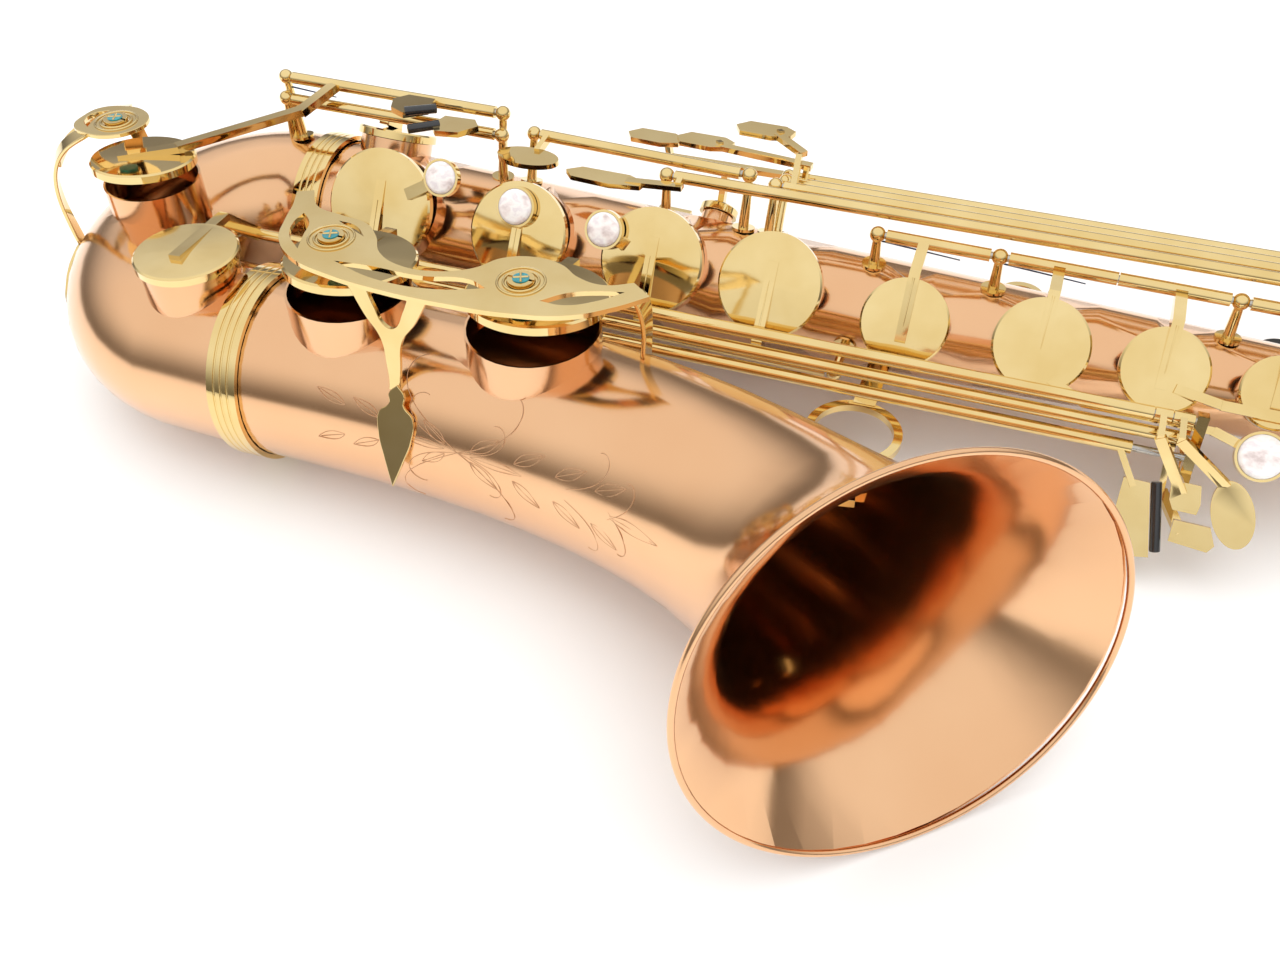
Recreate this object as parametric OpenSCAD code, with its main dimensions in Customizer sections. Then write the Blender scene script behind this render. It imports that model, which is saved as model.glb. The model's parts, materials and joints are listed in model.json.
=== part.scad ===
// Tenor saxophone lying on its left side, with its right-hand side up.
// It is drawn along its own axes and laid down at the end: X runs up the body tube from the bow,
// -Y is the front, where the bell is, and Z is the player's right-hand side.

/* [Body tube] */
// Outer radius of the body tube where it meets the bow
body_r = 31; // [30.5:0.1:31.5]
// Radius that the body tube loses for each millimetre towards the neck
body_taper = 0.0285; // [0.028:0.0001:0.029]
// Length of the body tube
body_len = 590; // [588:1:600]
// Thickness of the sheet metal
wall = 0.8; // [0.7:0.05:1]

/* [Bow and bell] */
// Distance from the body's axis to the bell's axis at the bow
bell_gap = 108; // [107:0.5:109]
// Outer radius of the bell where it meets the bow
bell_r = 38.5; // [38:0.1:39]
// Radius of the bell's rim
rim_r = 77.5; // [76:0.5:79]
// How far the bow's turn reaches past its straight legs
bow_depth = 46; // [45:0.5:47]
// Facets round the bow, the bell and the neck
sweep_sides = 40; // [24:4:48]

/* [Keywork] */
// Outer radius of the hinge tubes
tube_r = 2.6; // [2.5:0.05:2.7]
// Radius of the steel pivot rods
rod_r = 1.5; // [1.4:0.05:1.6]
// Radius of the balls on the posts
ball_r = 3.3; // [3.1:0.1:3.4]
// Angle that the right-hand stack's cups stand open
open_rh = 11; // [9:0.5:12]
// Angle that the left-hand stack's cups stand open
open_lh = 9; // [7:0.5:10]
// Angle that the bell keys stand open
open_bell = 8; // [6:0.5:8.5]
// Angle that the low C key stands open
open_low_c = 6; // [4:0.5:6.5]

/* [Hidden] */
$fn = 48;

bronze = [0.85, 0.58, 0.38];
gold = [0.88, 0.75, 0.42];
steel = [0.35, 0.4, 0.5];

run_gap = 0.05;
end_gap = 0.4;
pad_gap = 0.35;
cup_h = 4.4;
arm_h = 3;
chimney_wall = 0.9;
cup_lip = 1.5;
foot_r = 5;

// Tone holes on the body: place along it, degrees round from the front, radius of the cup, and
// height of the chimney above the crown of the tube.
th_rh = 41;
th_lh = 32;
hole_d = [44.5, th_rh, 24.5, 4.8];
hole_e = [111, th_rh, 21.9, 4.8];
hole_f = [171.5, th_rh, 22, 4.8];
hole_fs = [222.5, th_rh, 21.5, 4.8];
hole_gs = [278, th_lh, 17.8, 4.2];
hole_g = [331, th_lh, 18.6, 4.2];
hole_a = [376.5, th_lh, 16.5, 4.2];
hole_b = [417, th_lh, 14, 4.2];
hole_c = [452, th_lh, 11.5, 4.2];
hole_ef = [26, 118, 18, 5];
hole_trill = [183, 142, 8.5, 3.4];
hole_side_bf = [433, 100, 9, 3.4];
hole_side_c = [466, 100, 7.8, 3.4];
hole_side_e = [522, 86, 8, 3.4];
hole_high_fs = [552, 150, 8, 3.4];
hole_palm_d = [522, -70, 8, 3.4];
hole_palm_ef = [555, -105, 7.5, 3.4];
hole_palm_f = [565, -35, 7.5, 3.4];
hole_octave = [538, 200, 3.6, 3.4];
body_holes = [
    hole_d, hole_e, hole_f, hole_fs, hole_gs, hole_g, hole_a, hole_b, hole_c, hole_ef, hole_trill,
    hole_side_bf, hole_side_c, hole_side_e, hole_high_fs, hole_palm_d, hole_palm_ef, hole_palm_f,
    hole_octave];

// The bow turns from the body's end to the bell ring, which stands a little lower and further up.
bow_leg = 10;
bell_start = [32, -bell_gap, -9.3];
bell_end = [316.4, -192.2, 9.5];
bell_dir0 = [0.999, 0.047, 0.009];
bell_dir1 = [0.626, -0.761, 0.169];
bell_arc = 310;
flare_len = 22;
cone_gain = 4.5;
ring_half = 6.5;

// Tone holes on the bow and the bell point straight to the right-hand side: centre, cup radius, and
// height of the chimney's top.
low_c_hole = [-48, -66, 22, 40];
low_cs_hole = [3, -111, 21, 37];
low_b_hole = [75, -107, 26, 38];
low_bf_hole = [155, -109, 27, 40.5];

// Pivot lines, from ball to ball.
long_dir = [220, 10, -4];
long_a0 = [-14, -60.6, 17.9];
long_step = [0, -2.5, -7];
long_end_x = 393;
pinky_a = [[-20, 4, 60], [88, 8, 58]];
pinky_b = [[-20, 1, 51], [88, 5, 49]];
rod_rh = [-30, 2];
rod_lh = [32, -3];
posts_rh = [12.5, 146, 255];
posts_lh = [259, 308, 398, 478];
side_z = [38, 41, 43.5, 45];
side_y = [32, 22.5, 13.5, 4.5];
side_x0 = [212, 213.4, 211.2, 166];
side_x1 = [446, 477, 539, 565];
trill_rod = [[99, 15, 47], [200, 12, 47]];
table_origin = [392.9, -60.4, -15.6];
table_up = [0, -0.85, 0.5];

lay_roll = -8.8487;
lay_pitch = -0.3618;
rest_shift = [-299.349, 67.151, 33.331];

function unit(v) = v / norm(v);
function mix(a, b, t) = a + (b - a) * t;
function out(th) = [0, -cos(th), sin(th)];
function body_radius(x) = body_r - body_taper * x;
// The point where a line through o along d has the given x.
function at_x(o, d, x) = o + d * ((x - o[0]) / d[0]);
function long_rod(i, x) = at_x(long_a0 + i * long_step, long_dir, x);
// The nearest point on the body's surface to a point beside it, sunk by a little.
function on_body(p, sunk) = let (r = norm([p[1], p[2]]))
    [p[0], p[1], p[2]] - [0, p[1], p[2]] * ((r - body_radius(p[0]) + sunk) / r);

// The same on the side of the bell that faces the body.
function on_bell(p) = let (c = [p[0], -107.8, -8.9])
    c + unit(p - c) * (bell_r + 0.012 * p[0] - 0.3);

bow_steps = [for (a = [0:7.5:180]) a];
bow_path = concat(
    [[0, 0, 0]],
    [for (a = bow_steps) [
        -bow_leg - bow_depth * sin(a), -bell_gap * (1 - cos(a)) / 2, bell_start[2] * (1 - cos(a)) / 2]],
    [mix([-bow_leg, -bell_gap, bell_start[2]], bell_start, 0.5), bell_start]);
bow_radii = [for (i = [0:len(bow_path) - 1]) mix(body_r, bell_r, i / (len(bow_path) - 1))];

bell_steps = concat([for (t = [0:0.07:0.77]) t], [for (t = [0.82:0.03:1]) t]);
bell_c0 = bell_start + 113 * bell_dir0;
bell_c1 = bell_end - 111 * bell_dir1;
function bell_point(t) = pow(1 - t, 3) * bell_start + 3 * pow(1 - t, 2) * t * bell_c0
    + 3 * (1 - t) * t * t * bell_c1 + pow(t, 3) * bell_end;
function bell_radius(t) = bell_r + cone_gain * t
    + (rim_r - bell_r - cone_gain - 0.8) * exp(-(1 - t) * bell_arc / flare_len);
bell_path = [for (t = bell_steps) bell_point(t)];
bell_radii = [for (t = bell_steps) bell_radius(t)];

neck_start = [596, 0, 0];
neck_bend = 58;
neck_turn = 98;
neck_path = concat(
    [neck_start, neck_start + [18, 0, 0]],
    [for (a = [9.8:9.8:neck_turn]) neck_start + [18 + neck_bend * sin(a), neck_bend * (1 - cos(a)), 0]],
    [neck_start + [18 + neck_bend * sin(neck_turn), neck_bend * (1 - cos(neck_turn)), 0]
        + 42 * [cos(neck_turn), sin(neck_turn), 0]]);
neck_radii = [for (i = [0:len(neck_path) - 1]) mix(13.2, 6.6, i / (len(neck_path) - 1))];
neck_centre = neck_start + [18, neck_bend, 0];
neck_pip = -14;
neck_pivot = -52;

module laid() translate(rest_shift) rotate([lay_roll, 0, 0]) rotate([0, lay_pitch, 0]) children();

// Children are drawn at o, with X along x and Z as near to up as it can be.
module frame(o, x, up) {
    ex = unit(x);
    ez = unit(up - (up * ex) * ex);
    ey = cross(ez, ex);
    multmatrix([
        [ex[0], ey[0], ez[0], o[0]], [ex[1], ey[1], ez[1], o[1]], [ex[2], ey[2], ez[2], o[2]]])
        children();
}

// A line along the body's surface, th degrees round from the front: X along it, Y round, Z out.
module stack(th) frame(body_r * out(th), [1, 0, 0] - body_taper * out(th), out(th)) children();

// Turns its children by a about a line along X through y, z.
module swung(yz, a) translate([0, yz[0], yz[1]]) rotate([a, 0, 0]) translate([0, -yz[0], -yz[1]]) children();

module along_x(x0, x1, r) translate([x0, 0, 0]) rotate([0, 90, 0]) cylinder(r = r, h = x1 - x0);

// Turns its children by a about the line from p to q.
module about(p, q, a) translate(p) rotate(a = a, v = q - p) translate(-p) children();

// A round bar from a to b.
module strut(a, b, r, r2) frame(a, b - a, abs(unit(b - a)[2]) > 0.9 ? [1, 0, 0] : [0, 0, 1])
    rotate([0, 90, 0]) cylinder(r1 = r, r2 = is_undef(r2) ? r : r2, h = norm(b - a));

// A flat bar from a to b, w wide and h thick.
module bar(a, b, w, h, up = [0, 0, 1]) frame(a, b - a, up)
    translate([0, -w / 2, -h / 2]) cube([norm(b - a), w, h]);

// The solid that a circle of changing radius sweeps along a path that stays near the XY plane.
module sweep(path, radii) {
    n = len(path);
    m = sweep_sides;
    dirs = [for (i = [0:n - 1]) unit(path[min(i + 1, n - 1)] - path[max(i - 1, 0)])];
    points = [for (i = [0:n - 1]) let (u = unit(cross(dirs[i], [0, 0, 1])), v = cross(u, dirs[i]))
        for (j = [0:m - 1]) path[i] + radii[i] * (cos(360 * j / m) * u + sin(360 * j / m) * v)];
    sides = [for (i = [0:n - 2]) for (j = [0:m - 1])
        [i * m + j, i * m + (j + 1) % m, (i + 1) * m + (j + 1) % m, (i + 1) * m + j]];
    polyhedron(points, concat([[for (j = [m - 1:-1:0]) j]], sides, [[for (j = [0:m - 1]) (n - 1) * m + j]]));
}

// The same path, a wall's thickness inside and running a little past both ends.
module sweep_bore(path, radii) {
    n = len(path);
    ends = [mix(path[0], path[1], -0.02), mix(path[n - 1], path[n - 2], -0.02)];
    sweep(
        [for (i = [0:n - 1]) i == 0 ? ends[0] : i == n - 1 ? ends[1] : path[i]],
        [for (r = radii) r - wall]);
}

// A chimney's outside or its bore, drawn from well inside the tube to its top.
module chimney(r, top, deep) translate([0, 0, -deep]) cylinder(r = r, h = top + deep);

module body_chimneys(inset, extra) for (h = body_holes)
    stack(h[1]) translate([h[0], 0, 0]) chimney(h[2] - cup_lip - inset, h[3] + extra, min(h[2] * 0.6, 14));

module plain_chimney(hole, inset, extra, turn = 0, sides = 48) translate([hole[0], hole[1], 14]) rotate(turn)
    cylinder(r = hole[2] - cup_lip - inset, h = hole[3] - 14 + extra, $fn = sides);

module body_tube() color(bronze) laid() difference() {
    union() {
        rotate([0, 90, 0]) cylinder(r1 = body_r, r2 = body_radius(body_len), h = body_len, $fn = 96);
        body_chimneys(0, 0);
    }
    translate([-1, 0, 0]) rotate([0, 90, 0]) cylinder(
        r1 = body_radius(-1) - wall, r2 = body_radius(body_len + 1) - wall, h = body_len + 2, $fn = 96);
    body_chimneys(chimney_wall, 1);
}

module bow() color(bronze) laid() resize([0, 0, 0]) difference() {
    union() {
        sweep(bow_path, bow_radii);
        plain_chimney(low_c_hole, 0, 0);
        plain_chimney(low_cs_hole, 0, 0);
    }
    sweep_bore(bow_path, bow_radii);
    plain_chimney(low_c_hole, chimney_wall, 1);
    plain_chimney(low_cs_hole, chimney_wall, 1);
}

module bell() color(bronze) laid() resize([0, 0, 0]) difference() {
    union() {
        sweep(bell_path, bell_radii);
        plain_chimney(low_b_hole, 0, 0, 3.75, 36);
        plain_chimney(low_bf_hole, 0, 0, 3.75, 36);
    }
    sweep_bore(bell_path, bell_radii);
    plain_chimney(low_b_hole, chimney_wall, 1, 3.75, 36);
    plain_chimney(low_bf_hole, chimney_wall, 1, 3.75, 36);
}

module bell_rim_bead() color(bronze) laid() frame(bell_end, bell_dir1, [0, 0, 1])
    rotate([0, 90, 0]) rotate_extrude($fn = 96) translate([rim_r - 0.9, 0.9]) circle(r = 1.2, $fn = 24);

// A band with three grooves, inner radius r, along X.
module grooved_band(r) rotate([0, 90, 0]) rotate_extrude($fn = 96) difference() {
    translate([r, -ring_half]) square([1.9, 2 * ring_half]);
    for (z = [-3, 0, 3]) translate([r + 1.9, z]) circle(r = 0.5, $fn = 16);
}

module body_bow_ring() color(gold) laid() grooved_band(body_r + 0.4);

module bell_bow_ring() color(gold) laid() frame(bell_start, bell_dir0, [0, 0, 1])
    grooved_band(bell_r + 0.4);

// The outline of a leaf: two arcs that meet in points, from its half length and half width.
module leaf(half_len, half_width) {
    arc = (half_len * half_len + half_width * half_width) / (2 * half_width);
    intersection_for(side = [-1, 1]) translate([0, side * (arc - half_width)]) circle(r = arc, $fn = 96);
}

// Two leaves cut out of a thin shell that lies on the outside of the bow's turn.
module bow_guard_plates() color(gold) laid() resize([0, 0, 0]) intersection() {
    difference() {
        sweep(bow_path, [for (r = bow_radii) r + 1.7]);
        sweep(bow_path, [for (r = bow_radii) r + 0.4]);
    }
    translate([-110, 0, 0]) rotate([90, 0, 90]) linear_extrude(70) {
        translate([-31, -3]) rotate(-4) leaf(25, 15);
        translate([-84, -7]) rotate(-6) leaf(25, 17);
    }
}

// The long guard over the two bell keys: a swept plate with two round bumper seats, on three legs.
guard_z = 60;
guard_t = 2;
bumper_b = [75, -111, guard_z];
bumper_bf = [154, -113, guard_z];
bumper_c = [-58, -66, 63];
brace_ring = [271, -71, -9.5];

module bell_key_guard() color(gold) laid() {
    translate([0, 0, guard_z]) difference() {
        linear_extrude(guard_t) difference() {
            union() {
                translate([75, -111]) circle(r = 15);
                translate([154, -113]) circle(r = 16);
                polygon([[58, -116], [75, -132], [110, -134], [150, -133], [180, -124], [200, -106],
                    [192, -101], [172, -112], [150, -118], [110, -119], [75, -121]]);
            }
            polygon([[66, -98], [82, -99], [79, -104], [70, -104]]);
            polygon([[100, -128], [132, -128], [118, -123]]);
        }
        for (p = [bumper_b, bumper_bf]) translate([p[0], p[1], -1]) cylinder(r = 5.2, h = guard_t + 2);
    }
    bar([108, -132, guard_z + 1], [110, -138, 15], 6, 2, [0, -1, 0]);
    bar([195, -106, guard_z + 1.5], [196, -100, 29], 8, 2, [1, 0, 0]);
    bar([68, -101, guard_z + 1], [48, -90, guard_z + 1], 7, 2);
    bar([48, -90, guard_z + 2], [46, -84, 20], 6, 2, [-1, 0, 0]);
    frame([112, -145, 4], [0, -0.35, -0.9], [0, -0.9, 0.35]) linear_extrude(1.4) leaf(21, 7);
}

// The arched guard over the low C cup.
module low_c_guard() color(gold) laid() {
    translate(bumper_c) difference() {
        cylinder(r = 12, h = 1.8);
        translate([0, 0, -1]) cylinder(r = 5.2, h = 4);
    }
    bar(bumper_c + [-8, -6, 0.9], [-80, -81, 59], 8, 1.8);
    bar([-79, -80, 60], [-81, -85, 11], 7, 1.8, [-1, 0, 0]);
    bar(bumper_c + [-6, 7, 0.9], [-81, -36, 57], 8, 1.8);
    bar([-80, -37, 58], [-78, -30, 14], 7, 1.8, [-1, 0, 0]);
}

module guard_screws() color(gold) laid() for (p = [bumper_b, bumper_bf, bumper_c])
    translate(p + [0, 0, -1.5]) difference() {
        cylinder(r = 5, h = 5);
        translate([-6, -0.5, 4]) cube([12, 1, 2]);
    }

module guard_felts() color("teal") laid() for (p = [bumper_b, bumper_bf, bumper_c])
    translate(p + [0, 0, -3]) cylinder(r = 4, h = 1.4);

// The ring that braces the bell to the body, with a short foot on each.
module bell_brace() color(gold) laid() {
    translate(brace_ring) difference() {
        cylinder(r = 19, h = 3, $fn = 64);
        translate([0, 0, -1]) cylinder(r = 15.5, h = 5, $fn = 64);
    }
    bar(brace_ring + [0, 17, 1.5], [271, -21.5, -6.5], 9, 3.4);
    bar(brace_ring + [1, -17, 1.5], [277, -112, -6.5], 9, 3.4);
}

// A ball-topped post from the body's surface to p, on a round foot.
module post(p, base) {
    foot = is_undef(base) ? on_body(p, 0.3) : base;
    strut(foot, p, 2.3, 1.7);
    translate(p) sphere(r = ball_r, $fn = 32);
    strut(foot, foot + 1.2 * unit(p - foot), foot_r);
}

// A point of a stack's own frame, in the instrument's frame.
function stack_point(th, p) = let (
    ex = unit([1, 0, 0] - body_taper * out(th)), ez = unit(out(th) - (out(th) * ex) * ex), ey = cross(ez, ex))
    body_r * out(th) + p[0] * ex + p[1] * ey + p[2] * ez;
function side_point(i, x) = [x, side_y[i] + 0.02 * (x - 212), side_z[i]];

rh_balls = [for (x = posts_rh) stack_point(th_rh, [x, rod_rh[0], rod_rh[1]])];
lh_balls = [for (x = posts_lh) stack_point(th_lh, [x, rod_lh[0], rod_lh[1]])];
long_balls = [long_rod(0, -14), long_rod(1, 48), long_rod(2, 126)];
side_balls = [for (i = [0:3]) for (x = [side_x0[i], side_x1[i]]) side_point(i, x)];

module key_posts() color(gold) laid() {
    for (p = concat(rh_balls, lh_balls, side_balls, trill_rod)) post(p);
    for (p = long_balls) post(p, on_bell(p));
    post(pinky_a[0], [-16, 2, 31.6]);
    post(pinky_a[1], [86, 6, 27.4]);
    for (p = pinky_b) translate(p) sphere(r = ball_r, $fn = 32);
    for (i = [0:1]) strut(pinky_b[i], on_body(pinky_b[i], 0.3), 1.7, 2.2);
    rocker_posts();
    neck_key_posts();
}

module pivot_rods() color(steel) laid() {
    for (i = [0:len(rh_balls) - 2]) strut(rh_balls[i], rh_balls[i + 1], rod_r);
    for (i = [0:len(lh_balls) - 2]) strut(lh_balls[i], lh_balls[i + 1], rod_r);
    for (i = [0:2]) strut(long_balls[i], long_rod(i, long_end_x + 2), rod_r);
    for (i = [0:3]) strut(side_point(i, side_x0[i]), side_point(i, side_x1[i]), rod_r);
    for (r = [pinky_a, pinky_b, trill_rod]) strut(r[0], r[1], rod_r);
    rocker_pins();
    in_bend(neck_pivot) translate([neck_pivot_r, 0, -7.6]) cylinder(r = 1.2, h = 15.2);
}

// Needle springs stand beside the rods, from each first post.
module needle_springs() color(steel) laid() {
    for (i = [0:len(rh_balls) - 2]) strut(
        rh_balls[i] + [1, 3, -3], rh_balls[i] + [34, 3, -4.5], 0.4, 0.25);
    for (i = [0:1]) strut(lh_balls[i] + [1, 2, -4], lh_balls[i] + [34, 1, -5.5], 0.4, 0.25);
    for (b = long_balls) strut(b + [1, 3.4, -1], b + [40, 5, -2.5], 0.4, 0.25);
    strut(pinky_a[0] + [1, 0, -4.6], pinky_a[0] + [26, -1, -5.4], 0.4, 0.25);
}

// The upright plate that carries the right-hand ends of the three long rods.
module table_bracket() color(gold) laid() difference() {
    union() {
        bar(long_rod(0, long_end_x) + [0, 0.6, 3.2], [long_end_x, -48.5, -12.5], 5.4, 4, [1, 0, 0]);
        bar([long_end_x, -50.6, -11.5], [long_end_x, -9, -17.3], 4, 4.4, [1, 0, 0]);
    }
    for (i = [0:2]) strut(long_rod(i, long_end_x - 6), long_rod(i, long_end_x + 6), rod_r);
}

module strap_ring() color(gold) laid() stack(180) translate([318, 0, 0]) {
    translate([0, 0, -0.4]) cylinder(r = 7, h = 2.6);
    translate([0, 1.8, 10.5]) rotate([90, 0, 0]) difference() {
        cylinder(r = 9.5, h = 3.6);
        translate([0, 0, -1]) cylinder(r = 6.5, h = 6);
    }
}

// A padded hook for the right thumb on a saddle plate.
module thumb_hook() color(gold) laid() stack(180) translate([150, 0, 0]) {
    translate([-14, -6, -0.4]) cube([28, 12, 2.4]);
    translate([-2, -6, 1.5]) cube([4, 12, 14]);
    translate([-2, -6, 13]) cube([16, 12, 3]);
}

module thumb_rest() color("black") laid() stack(180) translate([420, 0, -0.4])
    difference() {
        cylinder(r = 10, h = 5);
        translate([0, 0, 32]) sphere(r = 29, $fn = 64);
    }

// A split collar on the top of the body, with two lugs for the clamp screw.
module neck_receiver() color(gold) laid() difference() {
    union() {
        translate([body_len - 8, 0, 0]) rotate([0, 90, 0]) rotate_extrude($fn = 64)
            polygon([[13.4, 8.6], [14.7, 8.6], [14.7, 0], [18.4, 0], [18.4, 18], [17.6, 26], [13.4, 26]]);
        translate([body_len + 2, 13, -6]) cube([14, 13, 12]);
    }
    translate([body_len - 9, 0, 0]) rotate([0, 90, 0]) cylinder(r = 13.4, h = 40);
    translate([body_len + 1, 10, -0.8]) cube([30, 20, 1.6]);
    translate([body_len + 9, 21, -10]) cylinder(r = 1.8, h = 20);
}

module neck_clamp_screw() color(gold) laid() translate([body_len + 9, 21, -6]) {
    cylinder(r = 1.7, h = 19);
    translate([0, 0, 12.2]) cylinder(r = 3, h = 3);
    translate([-0.9, -7, 14]) cube([1.8, 14, 9]);
}

// Children are drawn in the neck's bend, a degrees round it, with X out from the bend's centre.
module in_bend(a) translate(neck_centre) rotate([0, 0, a]) children();

module neck_tube() color(bronze) laid() resize([0, 0, 0]) difference() {
    union() {
        sweep(neck_path, neck_radii);
        in_bend(neck_pip) translate([neck_bend, 0, 0]) rotate([0, 90, 0]) rotate(7) cylinder(r = 2.4, h = 10.4, $fn = 20);
    }
    sweep_bore(neck_path, neck_radii);
    in_bend(neck_pip) translate([neck_bend, 0, 0]) rotate([0, 90, 0]) rotate(7) cylinder(r = 1.4, h = 20, $fn = 20);
}

neck_tip = neck_path[len(neck_path) - 1];
neck_tip_dir = [cos(neck_turn), sin(neck_turn), 0];
cork_len = 34;

module neck_cork() color("tan") laid()
    frame(neck_tip - (cork_len + 1) * neck_tip_dir, neck_tip_dir, [0, 0, 1]) rotate([0, 90, 0]) difference() {
        cylinder(r = 8.3, h = cork_len);
        translate([0, 0, -1]) cylinder(r = 7.15, h = cork_len + 2);
    }

// A pad cup seen from its pad side up: a flat disc with a turned edge and a faint crown.
module cup(r) rotate_extrude($fn = 64)
    polygon([[0, 0], [r, 0], [r, cup_h - 1.4], [r - 0.8, cup_h - 0.7], [0, cup_h]]);

module pearl_seat(r) difference() {
    cylinder(r = r, h = 3.4);
    translate([0, 0, 1.2]) cylinder(r = r - 1, h = 3);
}

module pearl(r) translate([0, 0, 1.25]) rotate_extrude()
    polygon([[0, 0], [r - 1.1, 0], [r - 1.1, 2.6], [r - 2.6, 3.6], [0, 4]]);

// Everything of a stack key, in its stack's frame and closed: its tube between x0 and x1 on the rod
// at yz, its cup over the tone hole and a bent arm between them that ends in a spike.
module stack_key_closed(yz, x0, x1, hole) {
    s = sign(yz[0]);
    base = hole[3] + pad_gap;
    top = base + cup_h - 0.4;
    translate([0, yz[0], yz[1]]) along_x(x0, x1, tube_r);
    translate([hole[0], 0, base]) cup(hole[2]);
    translate([hole[0] - 2.2, 0, 0]) rotate([90, 0, 90]) linear_extrude(4.4) polygon([
        [yz[0], yz[1] - 1.5], [yz[0] + s * 1.5, yz[1] + 1], [s * (hole[2] + 2.5), top + arm_h],
        [s * (hole[2] - 3), top + arm_h], [-s * hole[2] * 0.45, top + 0.4], [-s * hole[2] * 0.45, top - 0.6],
        [s * (hole[2] - 1), top - 0.6], [s * (hole[2] + 1.2), base]]);
}

// A stack key as it rests, with its running bore, in the instrument's frame.
module stack_key(th, yz, x0, x1, hole, open) stack(th) swung(yz, open) difference() {
    union() {
        stack_key_closed(yz, x0, x1, hole);
        children();
    }
    translate([0, yz[0], yz[1]]) along_x(x0 - 1, x1 + 1, rod_r + run_gap);
}

// Where each pearl sits in its stack's frame, with its radius.
at_pearl_d = [75.5, 17, 12.4, 8];
at_pearl_e = [110, 11, 9.6, 8.6];
at_pearl_f = [150.5, 9, 10.2, 8.2];
at_pearl_g = [416, -24.2, 7.4, 9.4];
at_pearl_a = [437, -17, 9.6, 8.8];
at_pearl_b = [472, -14, 9.8, 8.6];

module seat_at(p) translate([p[0], p[1], p[2]]) pearl_seat(p[3]);
module pearl_at(th, yz, open, p) color("white") laid() stack(th) swung(yz, open)
    translate([p[0], p[1], p[2]]) pearl(p[3]);

x_d = [posts_rh[0] + ball_r + end_gap, 78];
x_e = [78 + end_gap, posts_rh[1] - ball_r - end_gap];
x_f = [posts_rh[1] + ball_r + end_gap, 196.6];
x_fs = [196.6 + end_gap, posts_rh[2] - ball_r - end_gap];
x_gs = [posts_lh[0] + ball_r + end_gap, posts_lh[1] - ball_r - end_gap];
x_g = [posts_lh[1] + ball_r + end_gap, 353];
x_a = [353 + end_gap, posts_lh[2] - ball_r - end_gap];
x_b = [posts_lh[2] + ball_r + end_gap, 434];
x_c = [434 + end_gap, posts_lh[3] - ball_r - end_gap];

module low_d_key() color(gold) laid() stack_key(th_rh, rod_rh, x_d[0], x_d[1], hole_d, open_rh) {
    seat_at(at_pearl_d);
    bar([58, 7, 9.8], [72, 15, 12.2], 5, 2.4);
}
module low_e_key() color(gold) laid() stack_key(th_rh, rod_rh, x_e[0], x_e[1], hole_e, open_rh)
    seat_at(at_pearl_e);
module f_key() color(gold) laid() stack_key(th_rh, rod_rh, x_f[0], x_f[1], hole_f, open_rh) {
    seat_at(at_pearl_f);
    bar([160, 4, 9.6], [153, 8, 10], 5, 2.4);
}
module f_sharp_key() color(gold) laid() stack_key(th_rh, rod_rh, x_fs[0], x_fs[1], hole_fs, open_rh);
module g_sharp_key() color(gold) laid() stack_key(th_lh, rod_lh, x_gs[0], x_gs[1], hole_gs, 0);
module g_key() color(gold) laid() stack_key(th_lh, rod_lh, x_g[0], x_g[1], hole_g, -open_lh) {
    seat_at(at_pearl_g);
    bar([337, -12, 8.4], [352, -18.7, 8.2], 3.6, 2.4);
    bar([351, -18.6, 8.3], [400, -18.6, 8], 3, 2.2);
    bar([398, -18.5, 8.1], [410, -22, 7.3], 3.6, 2.4);
}
module a_key() color(gold) laid() stack_key(th_lh, rod_lh, x_a[0], x_a[1], hole_a, -open_lh) {
    seat_at(at_pearl_a);
    bar([382, -6, 8.8], [398, -9.5, 17.5], 3.6, 2.2);
    bar([397, -9.5, 17.5], [429, -9.5, 17.5], 3.8, 2.2);
    bar([428.6, -9.7, 18.4], [429.6, -10.3, 9.4], 3.4, 2.2);
    bar([428.6, -9.6, 9.7], [434, -14, 9.7], 3.8, 2);
}
module b_key() color(gold) laid() stack_key(th_lh, rod_lh, x_b[0], x_b[1], hole_b, -open_lh);
module c_key() color(gold) laid() stack_key(th_lh, rod_lh, x_c[0], x_c[1], hole_c, -open_lh) {
    seat_at(at_pearl_b);
    bar([456, -6, 8.6], [467, -12, 9.7], 4, 2.4);
}
module low_d_pearl() pearl_at(th_rh, rod_rh, open_rh, at_pearl_d);
module low_e_pearl() pearl_at(th_rh, rod_rh, open_rh, at_pearl_e);
module f_pearl() pearl_at(th_rh, rod_rh, open_rh, at_pearl_f);
module g_pearl() pearl_at(th_lh, rod_lh, -open_lh, at_pearl_g);
module a_pearl() pearl_at(th_lh, rod_lh, -open_lh, at_pearl_a);
module b_pearl() pearl_at(th_lh, rod_lh, -open_lh, at_pearl_b);

// A tube on the line from p to q, with its bore cut through everything that the children add.
module hinged(p, q) difference() {
    union() {
        strut(p, q, tube_r);
        children();
    }
    strut(p - unit(q - p) * 12, q + unit(q - p) * 12, rod_r + run_gap);
}

function inward(p, q) = unit(q - p) * (ball_r + end_gap);

// A cup that lies level over a hole of the bow or bell.
module level_cup(hole) translate([hole[0], hole[1], hole[3] + pad_gap]) cup(hole[2]);

pinky_tube_a = [pinky_a[0] + inward(pinky_a[0], pinky_a[1]), pinky_a[1] - inward(pinky_a[0], pinky_a[1])];
pinky_tube_b = [pinky_b[0] + inward(pinky_b[0], pinky_b[1]), pinky_b[1] - inward(pinky_b[0], pinky_b[1])];

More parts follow.
